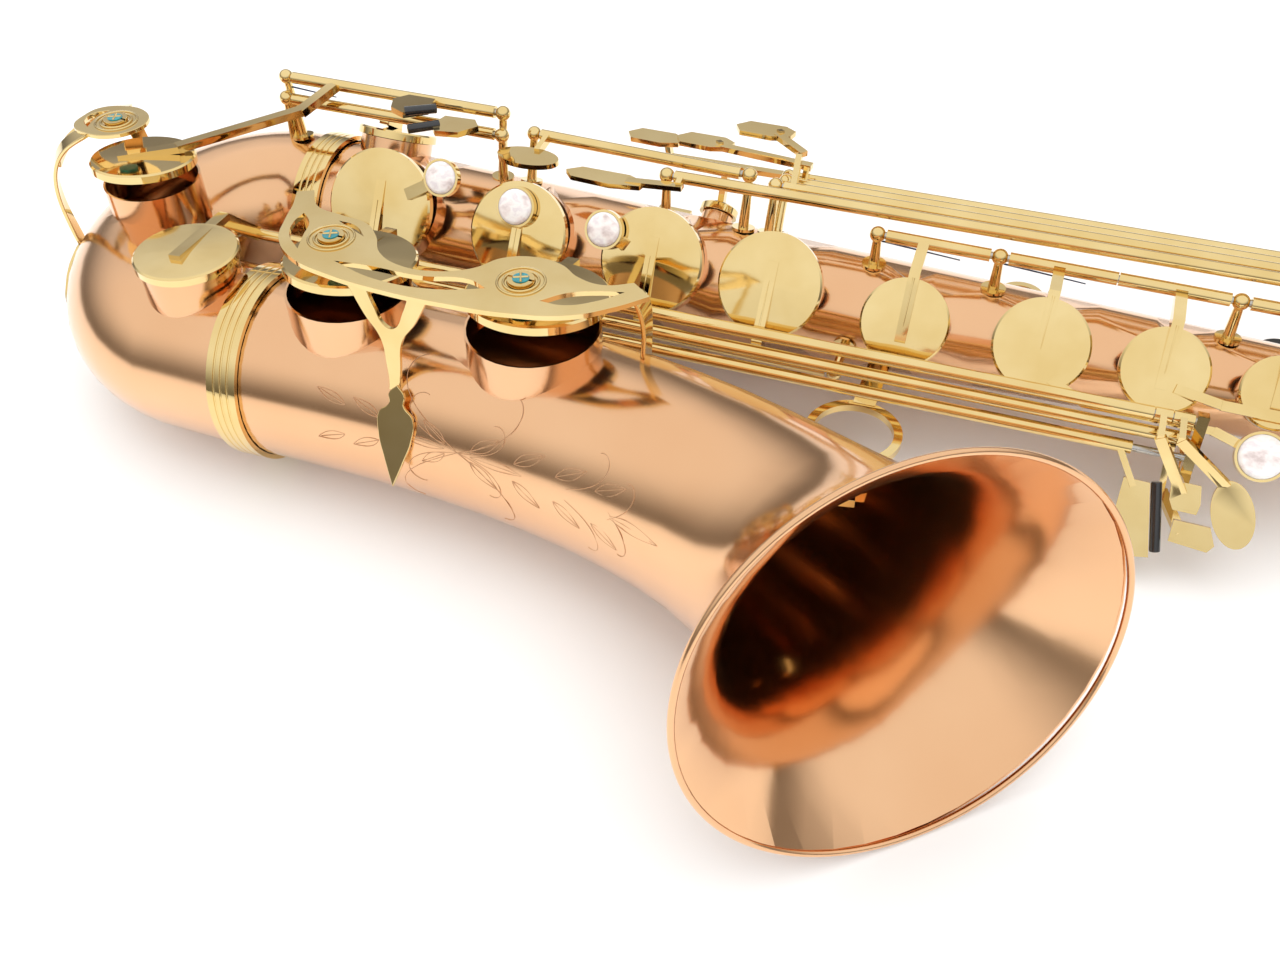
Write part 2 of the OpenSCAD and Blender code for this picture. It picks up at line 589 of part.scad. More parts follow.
// The low C key: a long arm reaches forward from its rod and down to the cup.
module low_c_key() color(gold) laid() about(pinky_a[0], pinky_a[1], -open_low_c)
    hinged(pinky_tube_a[0], pinky_tube_a[1]) {
        level_cup(low_c_hole);
        bar([6, 3, 59.5], [-2, -14, 52], 5.5, 3.4);
        bar([-1, -12, 52.6], [-36, -58, 46.4], 5.5, 3.2);
        bar([-34, -56, 46.2], [-56, -72, 44.2], 5, 2.8);
        translate([0, 0, 58.6]) linear_extrude(2.6) polygon([
            [44, 4], [40, -3], [44, -12], [52, -16], [60, -8], [57, 4]]);
    }

module low_c_roller() color("black") laid() about(pinky_a[0], pinky_a[1], -open_low_c)
    translate([58, -11, 61.5]) rotate([0, 90, 38]) translate([0, 0, -7]) cylinder(r = 2, h = 14);

// The low E flat key lies under the low C key's rod and opens a cup behind it.
module low_e_flat_key() color(gold) laid() hinged(pinky_tube_b[0], pinky_tube_b[1]) {
    body_cup(hole_ef);
    bar([24, 3, 50], [25, 12, 42.5], 5, 3);
    bar([25, 10, 43], [25, 20, 35.6], 5, 3);
    bar([70, 3, 50], [70, -9, 57], 6, 2.4);
    translate([0, 0, 56.4]) linear_extrude(2.6) polygon([
        [66, -4], [64, -13], [68, -18], [78, -16], [84, -8], [80, -3]]);
}

module low_e_flat_roller() color("black") laid()
    translate([61.5, -15.5, 58.5]) rotate([0, 90, 38]) translate([0, 0, -7]) cylinder(r = 2, h = 14);

// The table's own plane: X along the body, Y towards the right-hand side, Z out of its plates.
module table() frame(table_origin, [1, 0, 0], table_up) children();
module plate(outline) translate([0, 0, -2]) linear_extrude(2) polygon(outline);
function table_point(x, y) = let (ez = unit(table_up), ey = cross(ez, [1, 0, 0]))
    table_origin + [x, 0, 0] + y * ey - ez;

long_q = [for (i = [0:2]) long_rod(i, long_end_x)];

// Parts that turn with the long rod i, as they stand when it is turned by a.
module on_long(i, a) about(long_balls[i], long_q[i], a) children();

module long_hinged(i, x0, x1) hinged(long_rod(i, x0), long_rod(i, x1)) children();

// An arm from the long rod i, up and over to the cup of a bell hole.
module bell_arm(i, hole) {
    x = hole[0];
    root = long_rod(i, x);
    top = hole[3] + cup_h;
    bar(root, [x, -70, root[2] + 11], 4.4, 4, [1, 0, 0]);
    bar([x, -69.4, root[2] + 9], [x, -78, top - 2.6], 4.4, 3.6, [1, 0, 0]);
    bar([x, -76, top - 2.6], [x, hole[1] - 8, top + 1], 5, 3, [0, 0, 1]);
}

module low_c_sharp_key() color(gold) laid() long_hinged(0, -10, 376) {
    level_cup(low_cs_hole);
    bar(long_rod(0, -4), [-1, -82, 38], 6, 3.4, [1, 0, 0]);
    bar([-1, -80, 38.4], [4, -119, 42], 5, 3);
}

module low_b_key() color(gold) laid() long_hinged(1, 52, 389) {
    on_long(1, -open_bell) {
        level_cup(low_b_hole);
        bell_arm(1, low_b_hole);
    }
    bar([386, -44, 3], [386, -41, -8], 3.6, 2.4, [1, 0, 0]);
    bar([386, -41, -7], [388, -43, -25], 4, 2.4, [1, 0, 0]);
    bar([388, -44, -24], table_point(4, -11), 4, 2.4);
    table() plate([[0, -14], [0, -5.5], [13, -5.5], [16, -12], [14, -15]]);
}

module low_b_flat_key() color(gold) laid() long_hinged(2, 130, 372) {
    on_long(2, -open_bell) {
        level_cup(low_bf_hole);
        bell_arm(2, low_bf_hole);
    }
    bar([368, -49, -4], table_point(-17, 3), 4, 2.4, [1, 0, 0]);
    table() plate([[-21, 6], [-11.5, 6], [-5, -22], [-16, -24], [-21, -10]]);
}

module low_b_flat_roller() color("black") laid() table()
    translate([-9.4, 7, -0.4]) rotate([90, 0, 13]) cylinder(r = 2, h = 27);

module low_c_sharp_lever() color(gold) laid() long_hinged(0, 376.4, 382.6) {
    bar([379.5, -43.4, 10.6], [379.5, -56, 9.6], 4, 2.4, [1, 0, 0]);
    bar([379.5, -55, 9.9], table_point(0, 5), 4, 2.4, [0, -1, 0]);
    table() plate([[-4.5, 9], [-3.5, 1.5], [-1.5, -2], [7, -2], [7.5, 2], [6, 9]]);
}

module g_sharp_lever() color(gold) laid() long_hinged(0, 383, 390.4) {
    bar([386.6, -43, 10.6], [386.6, -56, 10.4], 4, 2.4, [1, 0, 0]);
    bar([386.6, -55, 10.6], table_point(14, 11), 4, 2.4, [0, -1, 0]);
    table() translate([19, 1, -2]) rotate(22) linear_extrude(2) scale([7.5, 13]) circle(r = 1);
}

// A side key: a long tube with a cup on an arm near its far end, and a touch at its near end on a
// lever that turns aside at y and passes the neighbouring keys at z.
module side_key(i, hole, touch, y, z) {
    a = side_point(i, side_x0[i] + ball_r + end_gap);
    b = side_point(i, side_x1[i] - ball_r - end_gap);
    near = [touch[0] + 8, touch[1] - 2, z];
    turn = [a[0] + 4, y, z];
    hinged(a, b) {
        body_cup(hole);
        bar(side_point(i, hole[0]) - [0, 0, 1.4], over_cup(hole) - [0, 0, 0.4], 5, 2.4, [1, 0, 0]);
        translate(touch) linear_extrude(2.2) polygon([
            [-13, 0], [-10, -5], [4, -5.5], [12, -3], [13, 2], [8, 5], [-8, 5]]);
        bar(near, touch + [6, 0, 1], 4, 2.4, [1, 0, 0]);
        bar(near - [2, 0, 0], turn + [1.8, 0, 0], 3.6, 2.4);
        bar(turn, [turn[0], a[1], a[2]], 3.4, 2.6, [1, 0, 0]);
    }
}

// A cup on a tone hole of the body, and the point over its middle where its arm ends.
module body_cup(hole) stack(hole[1]) translate([hole[0], 0, hole[3] + pad_gap]) cup(hole[2]);
function over_cup(hole) = stack_point(hole[1], [hole[0], 0, hole[3] + pad_gap + cup_h + 0.6]);

module side_b_flat_key() color(gold) laid() side_key(0, hole_side_bf, [147, 40, 40], 40, 34);
module side_c_key() color(gold) laid() side_key(1, hole_side_c, [173, 33, 46], 27, 47.3);
module side_high_e_key() color(gold) laid() side_key(2, hole_side_e, [199.5, 34.5, 55], 20, 56.3);

module high_f_sharp_key() color(gold) laid() {
    a = side_point(3, side_x0[3] + ball_r + end_gap);
    b = side_point(3, side_x1[3] - ball_r - end_gap);
    hinged(a, b) {
        body_cup(hole_high_fs);
        bar(side_point(3, hole_high_fs[0]), over_cup(hole_high_fs), 5, 3, [1, 0, 0]);
        bar(a + [3, 0, 0], [173, -2, 44], 4, 2.4, [1, 0, 0]);
        bar([175, -2, 44], [150, -3, 42.4], 4, 2.2);
        translate([140, -3, 41]) linear_extrude(2.2) polygon([
            [-18, 0], [-14, -4.5], [4, -5.5], [17, -3], [18, 1], [10, 4.5], [-12, 4.5]]);
    }
}

module f_sharp_trill_key() color(gold) laid() {
    p = trill_rod[0] + inward(trill_rod[0], trill_rod[1]);
    hinged(p, at_x(p, trill_rod[1] - p, 196)) {
        body_cup(hole_trill);
        bar([184, 12.5, 47], [184, 32, 36], 4, 2.6, [1, 0, 0]);
        bar([184, 31, 37], over_cup(hole_trill), 4.4, 2.8, [1, 0, 0]);
        bar([106, 14, 47], [106, 2, 45.5], 4, 2.4, [1, 0, 0]);
        translate([104, -3, 44]) linear_extrude(2.2) scale([1.9, 1]) circle(r = 7.5);
    }
}

// Rocking keys: degrees round from the front, pivot along the body and above it, half length of tube.
rock_palm_d = [-70, 500, 10, 4];
rock_palm_ef = [-105, 533, 10, 4];
rock_palm_f = [-35, 545, 10, 4];
rock_thumb = [180, 464, 8, 5];
rock_octave = [200, 522, 9, 4];
rockers = [rock_palm_d, rock_palm_ef, rock_palm_f, rock_thumb, rock_octave];
pin_reach = 2.6;

module rocker_posts() for (k = rockers) stack(k[0]) for (s = [-1, 1]) {
    y = s * (k[3] + end_gap + 2);
    r = body_radius(k[1]);
    base = sqrt(r * r - y * y) - body_r + 0.0285 * k[1] - 0.3;
    strut([k[1], y, base], [k[1], y, k[2]], 1.8);
    translate([k[1], y, k[2]]) sphere(r = 2.2, $fn = 32);
}

module neck_key_posts() in_bend(neck_pivot) for (s = [-1, 1]) {
    strut([neck_bend + 8.5, 0, s * 6.6], [neck_pivot_r, 0, s * 6.6], 1.8);
    translate([neck_pivot_r, 0, s * 6.6]) sphere(r = 2.2, $fn = 32);
}

module rocker_pins() for (k = rockers) stack(k[0]) translate([k[1], k[3] + pin_reach, k[2]])
    rotate([90, 0, 0]) cylinder(r = 1.2, h = 2 * (k[3] + pin_reach));

// A rocking key over its hole: its tube across the body, a touch on one arm and a cup on the other.
module rocker(k, hole_x, cup_r, seat, touch_x, touch_z) stack(k[0]) difference() {
    union() {
        translate([k[1], k[3], k[2]]) rotate([90, 0, 0]) cylinder(r = 2.4, h = 2 * k[3]);
        translate([hole_x, 0, seat + pad_gap]) cup(cup_r);
        bar([k[1], 0, k[2]], [hole_x - 3, 0, seat + cup_h + 1.4], 4, 2.6);
        bar([hole_x - 4, 0, seat + cup_h + 1.4], [hole_x + 2, 0, seat + cup_h], 4.4, 2.6);
        bar([k[1], 0, k[2]], [touch_x + 8, 0, touch_z + 1], 4, 2.6);
        translate([touch_x, 0, touch_z]) linear_extrude(2.2) polygon([
            [-12, -3], [-10, -6], [6, -6], [13, -2.5], [13, 2.5], [6, 6], [-10, 6], [-12, 3]]);
    }
    translate([k[1], 20, k[2]]) rotate([90, 0, 0]) cylinder(r = 1.2 + run_gap, h = 40);
}

module palm_d_key() color(gold) laid()
    rocker(rock_palm_d, hole_palm_d[0], hole_palm_d[2], hole_palm_d[3], 475, 17);
module palm_e_flat_key() color(gold) laid()
    rocker(rock_palm_ef, hole_palm_ef[0], hole_palm_ef[2], hole_palm_ef[3], 508, 17);
module palm_f_key() color(gold) laid()
    rocker(rock_palm_f, hole_palm_f[0], hole_palm_f[2], hole_palm_f[3], 520, 17);
module body_octave_key() color(gold) laid()
    rocker(rock_octave, hole_octave[0], 5, hole_octave[3], 503, 9);

// The thumb's lever rocks on the back of the body; its far end reaches towards the neck.
module thumb_octave_lever() color(gold) laid() stack(rock_thumb[0])
    translate([rock_thumb[1], 0, rock_thumb[2]]) difference() {
        union() {
            translate([0, rock_thumb[3], 0]) rotate([90, 0, 0]) cylinder(r = 2.4, h = 2 * rock_thumb[3]);
            translate([-11, -2, -1.2]) cube([34, 4, 2.4]);
            translate([-19, 0, -0.6]) linear_extrude(2.4) scale([1.3, 1]) circle(r = 9);
        }
        translate([0, 20, 0]) rotate([90, 0, 0]) cylinder(r = 1.2 + run_gap, h = 40);
    }

// The neck's octave key rocks on the outside of the bend, with a loop round the tenon.
neck_pivot_r = neck_bend + 18;
module neck_octave_key() color(gold) laid() difference() {
    union() {
        in_bend(-91) rotate_extrude(angle = 85) translate([neck_bend + 17, -2.5]) square([2.4, 5]);
        in_bend(neck_pip) translate([neck_bend + 10.4 + pad_gap, 0, 0]) rotate([0, 90, 0])
            cylinder(r = 4.5, h = 7.5);
        in_bend(neck_pivot) translate([neck_pivot_r, 0, -4]) cylinder(r = 2.4, h = 8);
        translate(neck_start + [17, 0, 0]) rotate([0, 90, 0]) difference() {
            cylinder(r = 19.6, h = 3);
            translate([0, 0, -1]) cylinder(r = 17.4, h = 5);
        }
    }
    in_bend(neck_pivot) translate([neck_pivot_r, 0, -20]) cylinder(r = 1.2 + run_gap, h = 40);
}

body_tube();
bow();
bell();
bell_rim_bead();
body_bow_ring();
bell_bow_ring();
bow_guard_plates();
bell_key_guard();
low_c_guard();
guard_screws();
guard_felts();
bell_brace();
key_posts();
pivot_rods();
needle_springs();
table_bracket();
strap_ring();
thumb_hook();
thumb_rest();
neck_receiver();
neck_clamp_screw();
neck_tube();
neck_cork();
low_d_key();
low_e_key();
f_key();
f_sharp_key();
g_sharp_key();
g_key();
a_key();
b_key();
c_key();
low_d_pearl();
low_e_pearl();
f_pearl();
g_pearl();
a_pearl();
b_pearl();
low_c_key();
low_e_flat_key();
low_c_roller();
low_e_flat_roller();
low_c_sharp_lever();
low_c_sharp_key();
low_b_key();
low_b_flat_key();
low_b_flat_roller();
g_sharp_lever();
side_b_flat_key();
side_c_key();
side_high_e_key();
high_f_sharp_key();
f_sharp_trill_key();
palm_d_key();
palm_e_flat_key();
palm_f_key();
thumb_octave_lever();
body_octave_key();
neck_octave_key();
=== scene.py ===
"""Looks of a lacquered tenor saxophone that lies on its side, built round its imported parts."""

import json
import logging
import math
from dataclasses import dataclass
from enum import Enum
from typing import Callable, Sequence

import bpy
from mathutils import Matrix, Vector

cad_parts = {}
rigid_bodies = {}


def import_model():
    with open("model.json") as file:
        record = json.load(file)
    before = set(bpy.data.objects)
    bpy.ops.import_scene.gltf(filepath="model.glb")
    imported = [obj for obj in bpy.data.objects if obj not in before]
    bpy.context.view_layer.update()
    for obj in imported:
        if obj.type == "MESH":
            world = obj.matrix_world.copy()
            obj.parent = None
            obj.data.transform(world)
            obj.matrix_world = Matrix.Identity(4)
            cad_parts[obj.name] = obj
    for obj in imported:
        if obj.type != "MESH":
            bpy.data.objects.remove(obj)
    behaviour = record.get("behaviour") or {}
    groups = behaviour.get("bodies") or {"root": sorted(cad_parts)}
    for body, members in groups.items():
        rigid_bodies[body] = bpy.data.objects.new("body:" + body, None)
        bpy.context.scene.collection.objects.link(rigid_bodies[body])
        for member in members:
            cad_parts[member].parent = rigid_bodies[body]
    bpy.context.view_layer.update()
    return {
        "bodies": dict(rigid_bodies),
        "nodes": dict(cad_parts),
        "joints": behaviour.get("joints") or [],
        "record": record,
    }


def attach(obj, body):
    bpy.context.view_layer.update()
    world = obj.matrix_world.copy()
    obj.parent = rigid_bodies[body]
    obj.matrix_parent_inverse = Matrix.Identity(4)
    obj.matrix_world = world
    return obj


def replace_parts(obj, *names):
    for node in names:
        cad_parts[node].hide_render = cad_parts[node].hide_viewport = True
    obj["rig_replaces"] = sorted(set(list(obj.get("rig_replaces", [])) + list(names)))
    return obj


MM = 0.001
WELD = 0.000004  # metres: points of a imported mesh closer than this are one
FLAT = 0.6  # degrees: faces that differ by less than this are one
AREA_WEIGHT = 70  # how strongly a large face sets the shading of its corners
NOISE_LOW, NOISE_HIGH = 0.3, 0.7  # the range that a noise mostly keeps to
DEGREES_PER_T = 330  # degrees round the bell as long as its whole centre line
FROND_STEPS, LEAF_STEPS, MIDRIB_STEPS = 32, 18, 8
RIM_SIDES = 48
RING_KNOTS = 8
FACING = 0.9  # a face whose normal reaches this along a direction faces that way
FLOOR_DROP = -0.0004  # metres: the table top, just below the lowest point
Point = Sequence[float]
log = logging.getLogger("saxophone")


class Slot(Enum):
    """The record's material slots."""

    BRONZE = "bronze"
    GOLD = "gold"
    STEEL = "steel"
    BLUED = "blued_steel"
    PEARL = "pearl"
    ROLLER = "roller"
    FELT = "felt"
    CORK = "cork"
    PLASTIC = "black_plastic"


# ---------------------------------------------------------------- finishes


@dataclass(frozen=True)
class Recipe:
    """A small builder of one material's node tree."""

    name: str

    def start(self) -> tuple[bpy.types.Material, bpy.types.NodeTree, bpy.types.Node]:
        """Makes the material.

        Returns:
            The material, its node tree and its surface shader.
        """
        material = bpy.data.materials.new(self.name)
        material.use_nodes = True
        tree = material.node_tree
        return material, tree, tree.nodes["Principled BSDF"]

    @staticmethod
    def place(tree: bpy.types.NodeTree, scale: Point = (1.0, 1.0, 1.0)) -> bpy.types.NodeSocket:
        """Gives the object's own coordinates, scaled.

        Args:
            tree: the node tree.
            scale: the scale along X, Y and Z.

        Returns:
            The vector socket.
        """
        coords = tree.nodes.new("ShaderNodeTexCoord")
        mapping = tree.nodes.new("ShaderNodeMapping")
        mapping.inputs["Scale"].default_value = scale
        tree.links.new(coords.outputs["Object"], mapping.inputs["Vector"])
        return mapping.outputs["Vector"]

    @staticmethod
    def noise(
        tree: bpy.types.NodeTree, vector: bpy.types.NodeSocket, scale: float, detail: float = 3.0
    ) -> bpy.types.NodeSocket:
        """Adds a noise pattern.

        Args:
            tree: the node tree.
            vector: where it is read.
            scale: cycles in a metre.
            detail: its octaves.

        Returns:
            The value socket.
        """
        node = tree.nodes.new("ShaderNodeTexNoise")
        node.inputs["Scale"].default_value = scale
        node.inputs["Detail"].default_value = detail
        tree.links.new(vector, node.inputs["Vector"])
        return node.outputs["Fac"]

    @staticmethod
    def ramp(
        tree: bpy.types.NodeTree,
        value: bpy.types.NodeSocket,
        stops: Sequence[tuple[float, Point]],
    ) -> bpy.types.NodeSocket:
        """Turns a value into colours.

        Args:
            tree: the node tree.
            value: the value socket.
            stops: pairs of place and colour, in order.

        Returns:
            The colour socket.
        """
        node = tree.nodes.new("ShaderNodeValToRGB")
        band = node.color_ramp
        while len(band.elements) < len(stops):
            band.elements.new(0.5)
        for element, (where, colour) in zip(band.elements, stops):
            element.position = where
            element.color = (*colour, 1.0)
        tree.links.new(value, node.inputs["Fac"])
        return node.outputs["Color"]

    @staticmethod
    def spread(
        tree: bpy.types.NodeTree, value: bpy.types.NodeSocket, low: float, high: float
    ) -> bpy.types.NodeSocket:
        """Maps a noise's middle range to low..high.

        Args:
            tree: the node tree.
            value: the value socket.
            low: result at NOISE_LOW.
            high: result at NOISE_HIGH.

        Returns:
            The mapped socket.
        """
        node = tree.nodes.new("ShaderNodeMapRange")
        node.inputs["From Min"].default_value = NOISE_LOW
        node.inputs["From Max"].default_value = NOISE_HIGH
        node.inputs["To Min"].default_value = low
        node.inputs["To Max"].default_value = high
        tree.links.new(value, node.inputs["Value"])
        return node.outputs["Result"]

    @staticmethod
    def bump(
        tree: bpy.types.NodeTree,
        height: bpy.types.NodeSocket,
        shader: bpy.types.Node,
        strength: float,
        distance: float,
    ) -> None:
        """Feeds a height into the shader's normal.

        Args:
            tree: the node tree.
            height: the height socket.
            shader: the surface shader.
            strength: how strong it is.
            distance: its depth in metres.
        """
        node = tree.nodes.new("ShaderNodeBump")
        node.inputs["Strength"].default_value = strength
        node.inputs["Distance"].default_value = distance
        tree.links.new(height, node.inputs["Height"])
        tree.links.new(node.outputs["Normal"], shader.inputs["Normal"])


@dataclass(frozen=True)
class Lacquer(Recipe):
    """Polished or satin metal under clear lacquer, with faint clouds and hairlines."""

    light: tuple[float, float, float] = (0.87, 0.52, 0.285)
    deep: tuple[float, float, float] = (0.82, 0.465, 0.24)
    rough: tuple[float, float] = (0.13, 0.19)
    coat: float = 0.5
    cloud: float = 14.0
    grain: tuple[float, float, float] = (60.0, 900.0, 900.0)
    grain_depth: float = 0.000004
    metallic: float = 1.0

    def build(self) -> bpy.types.Material:
        """Builds the material.

        Returns:
            The material.
        """
        material, tree, shader = self.start()
        clouds = self.noise(tree, self.place(tree), self.cloud)
        hair = self.noise(tree, self.place(tree, self.grain), 1.0, 2.0)
        colour = self.ramp(tree, clouds, [(NOISE_LOW, self.deep), (NOISE_HIGH, self.light)])
        tree.links.new(colour, shader.inputs["Base Color"])
        tree.links.new(self.spread(tree, clouds, *self.rough), shader.inputs["Roughness"])
        self.bump(tree, hair, shader, 0.25, self.grain_depth)
        shader.inputs["Metallic"].default_value = self.metallic
        shader.inputs["Coat Weight"].default_value = self.coat
        shader.inputs["Coat Roughness"].default_value = 0.06
        return material


@dataclass(frozen=True)
class Nacre(Recipe):
    """Polished mother-of-pearl with soft bands of cream, grey and rose."""

    def build(self) -> bpy.types.Material:
        """Builds the material.

        Returns:
            The material.
        """
        material, tree, shader = self.start()
        where = self.place(tree, (1.0, 1.6, 1.0))
        bands = self.noise(tree, where, 150.0, 5.0)
        colour = self.ramp(
            tree,
            bands,
            [
                (0.30, (0.62, 0.52, 0.50)),
                (0.42, (0.86, 0.78, 0.76)),
                (0.52, (0.95, 0.93, 0.90)),
                (0.62, (0.80, 0.74, 0.76)),
                (0.74, (0.96, 0.93, 0.88)),
            ],
        )
        tree.links.new(colour, shader.inputs["Base Color"])
        tree.links.new(self.spread(tree, bands, 0.16, 0.28), shader.inputs["Roughness"])
        self.bump(tree, bands, shader, 0.08, 0.0002)
        shader.inputs["Coat Weight"].default_value = 0.8
        shader.inputs["Coat Roughness"].default_value = 0.05
        return material


@dataclass(frozen=True)
class Grained(Recipe):
    """A dull or glossy non-metal with a grain: leather, felt, cork, horn or the floor."""

    light: tuple[float, float, float] = (0.5, 0.5, 0.5)
    deep: tuple[float, float, float] = (0.3, 0.3, 0.3)
    scale: float = 900.0
    rough: tuple[float, float] = (0.5, 0.7)
    depth: float = 0.0001
    sheen: float = 0.0
    coat: float = 0.0
    cells: bool = False

    def build(self) -> bpy.types.Material:
        """Builds the material.

        Returns:
            The material.
        """
        material, tree, shader = self.start()
        where = self.place(tree)
        clouds = self.noise(tree, where, self.scale / 6, 4.0)
        fine = self.noise(tree, where, self.scale, 3.0)
        colour = self.ramp(tree, clouds, [(0.35, self.deep), (0.65, self.light)])
        tree.links.new(colour, shader.inputs["Base Color"])
        tree.links.new(self.spread(tree, fine, *self.rough), shader.inputs["Roughness"])
        height = fine
        if self.cells:
            cell = tree.nodes.new("ShaderNodeTexVoronoi")
            cell.inputs["Scale"].default_value = self.scale
            tree.links.new(where, cell.inputs["Vector"])
            height = cell.outputs["Distance"]
        self.bump(tree, height, shader, 0.5, self.depth)
        shader.inputs["Sheen Weight"].default_value = self.sheen
        shader.inputs["Coat Weight"].default_value = self.coat
        return material


class Finishes:
    """Every finish on the instrument, made once."""

    def __init__(self) -> None:
        """Builds the materials."""
        self.bronze = Lacquer("bronze_lacquer").build()
        self.gold = Lacquer(
            "gold_lacquer",
            light=(0.88, 0.68, 0.32),
            deep=(0.80, 0.58, 0.23),
            rough=(0.045, 0.09),
            cloud=40.0,
            grain_depth=0.0000006,
        ).build()
        self.steel = Lacquer(
            "ground_steel",
            light=(0.62, 0.60, 0.56),
            deep=(0.48, 0.47, 0.45),
            rough=(0.2, 0.32),
            coat=0.0,
            cloud=90.0,
        ).build()
        self.blued = Lacquer(
            "blued_steel",
            light=(0.09, 0.13, 0.3),
            deep=(0.05, 0.07, 0.16),
            rough=(0.2, 0.3),
            coat=0.2,
            cloud=200.0,
        ).build()
        self.etched = Lacquer(
            "etched_bronze",
            light=(0.80, 0.50, 0.30),
            deep=(0.62, 0.36, 0.19),
            rough=(0.45, 0.6),
            coat=0.1,
            cloud=600.0,
            grain_depth=0.00002,
        ).build()
        self.pearl = Nacre("mother_of_pearl").build()
        self.roller = Grained(
            "polished_black", light=(0.016, 0.016, 0.018), deep=(0.008, 0.008, 0.009), scale=500.0,
            rough=(0.14, 0.24), depth=0.00001, coat=0.6,
        ).build()
        self.leather = Grained(
            "pad_leather", light=(0.09, 0.038, 0.018), deep=(0.045, 0.018, 0.009), scale=1400.0,
            rough=(0.42, 0.6), depth=0.00012, coat=0.15, cells=True,
        ).build()
        self.felt = Grained(
            "teal_felt", light=(0.02, 0.28, 0.31), deep=(0.01, 0.17, 0.2), scale=2600.0,
            rough=(0.85, 0.97), depth=0.0002, sheen=0.5,
        ).build()
        self.cork = Grained(
            "sanded_cork", light=(0.56, 0.36, 0.19), deep=(0.33, 0.18, 0.085), scale=900.0,
            rough=(0.7, 0.9), depth=0.0002, cells=True,
        ).build()
        self.plastic = Grained(
            "matt_black", light=(0.03, 0.03, 0.03), deep=(0.018, 0.018, 0.018), scale=1200.0,
            rough=(0.4, 0.55), depth=0.00004,
        ).build()
        self.paper = Grained(
            "pale_table", light=(0.9, 0.895, 0.885), deep=(0.88, 0.875, 0.865), scale=60.0,
            rough=(0.55, 0.7), depth=0.00002,
        ).build()


# ---------------------------------------------------------------- bench tools


@dataclass(frozen=True)
class Lay:
    """How the instrument's own frame, in millimetres along its body, lies in the row's frame."""

    roll: float = -8.8487
    pitch: float = -0.3618
    shift: tuple[float, float, float] = (-299.349, 67.151, 33.331)
    body_r: float = 31.0
    taper: float = 0.0285

    def turn(self) -> Matrix:
        """Gives the turn alone.

        Returns:
            The matrix.
        """
        return Matrix.Rotation(math.radians(self.roll), 4, "X") @ Matrix.Rotation(
            math.radians(self.pitch), 4, "Y"
        )

    def matrix(self) -> Matrix:
        """Gives the whole change, millimetres to metres included.

        Returns:
            The matrix.
        """
        return Matrix.Scale(MM, 4) @ Matrix.Translation(self.shift) @ self.turn()

    def point(self, place: Point) -> Vector:
        """Moves a point of the instrument to the row's frame.

        Args:
            place: the point, in millimetres.

        Returns:
            The point, in metres.
        """
        return self.matrix() @ Vector(place)

    def stack(self, around: float) -> Matrix:
        """Gives the frame on the body's surface at an angle round from its front.

        Args:
            around: degrees round from the front.

        Returns:
            X along the body, Y round it, Z outwards.
        """
        a = math.radians(around)
        out = Vector((0.0, -math.cos(a), math.sin(a)))
        ex = (Vector((1.0, 0.0, 0.0)) - self.taper * out).normalized()
        return axes(self.body_r * out, ex, out)


def axes(origin: Vector, along: Vector, up: Vector) -> Matrix:
    """Gives a frame at a point.

    Args:
        origin: the point.
        along: its X.
        up: roughly its Z.

    Returns:
        The frame's matrix.
    """
    ex = along.normalized()
    ez = (up - up.dot(ex) * ex).normalized()
    ey = ez.cross(ex)
    return Matrix(
        (
            (ex.x, ey.x, ez.x, origin.x),
            (ex.y, ey.y, ez.y, origin.y),
            (ex.z, ey.z, ez.z, origin.z),
            (0, 0, 0, 1),
        )
    )


def swung(y: float, z: float, degrees: float) -> Matrix:
    """Gives a turn about a line along X.

    Args:
        y: the line's Y.
        z: the line's Z.
        degrees: how far it turns.

    Returns:
        The turn's matrix.
    """
    line = Matrix.Translation((0.0, y, z))
    return line @ Matrix.Rotation(math.radians(degrees), 4, "X") @ line.inverted()


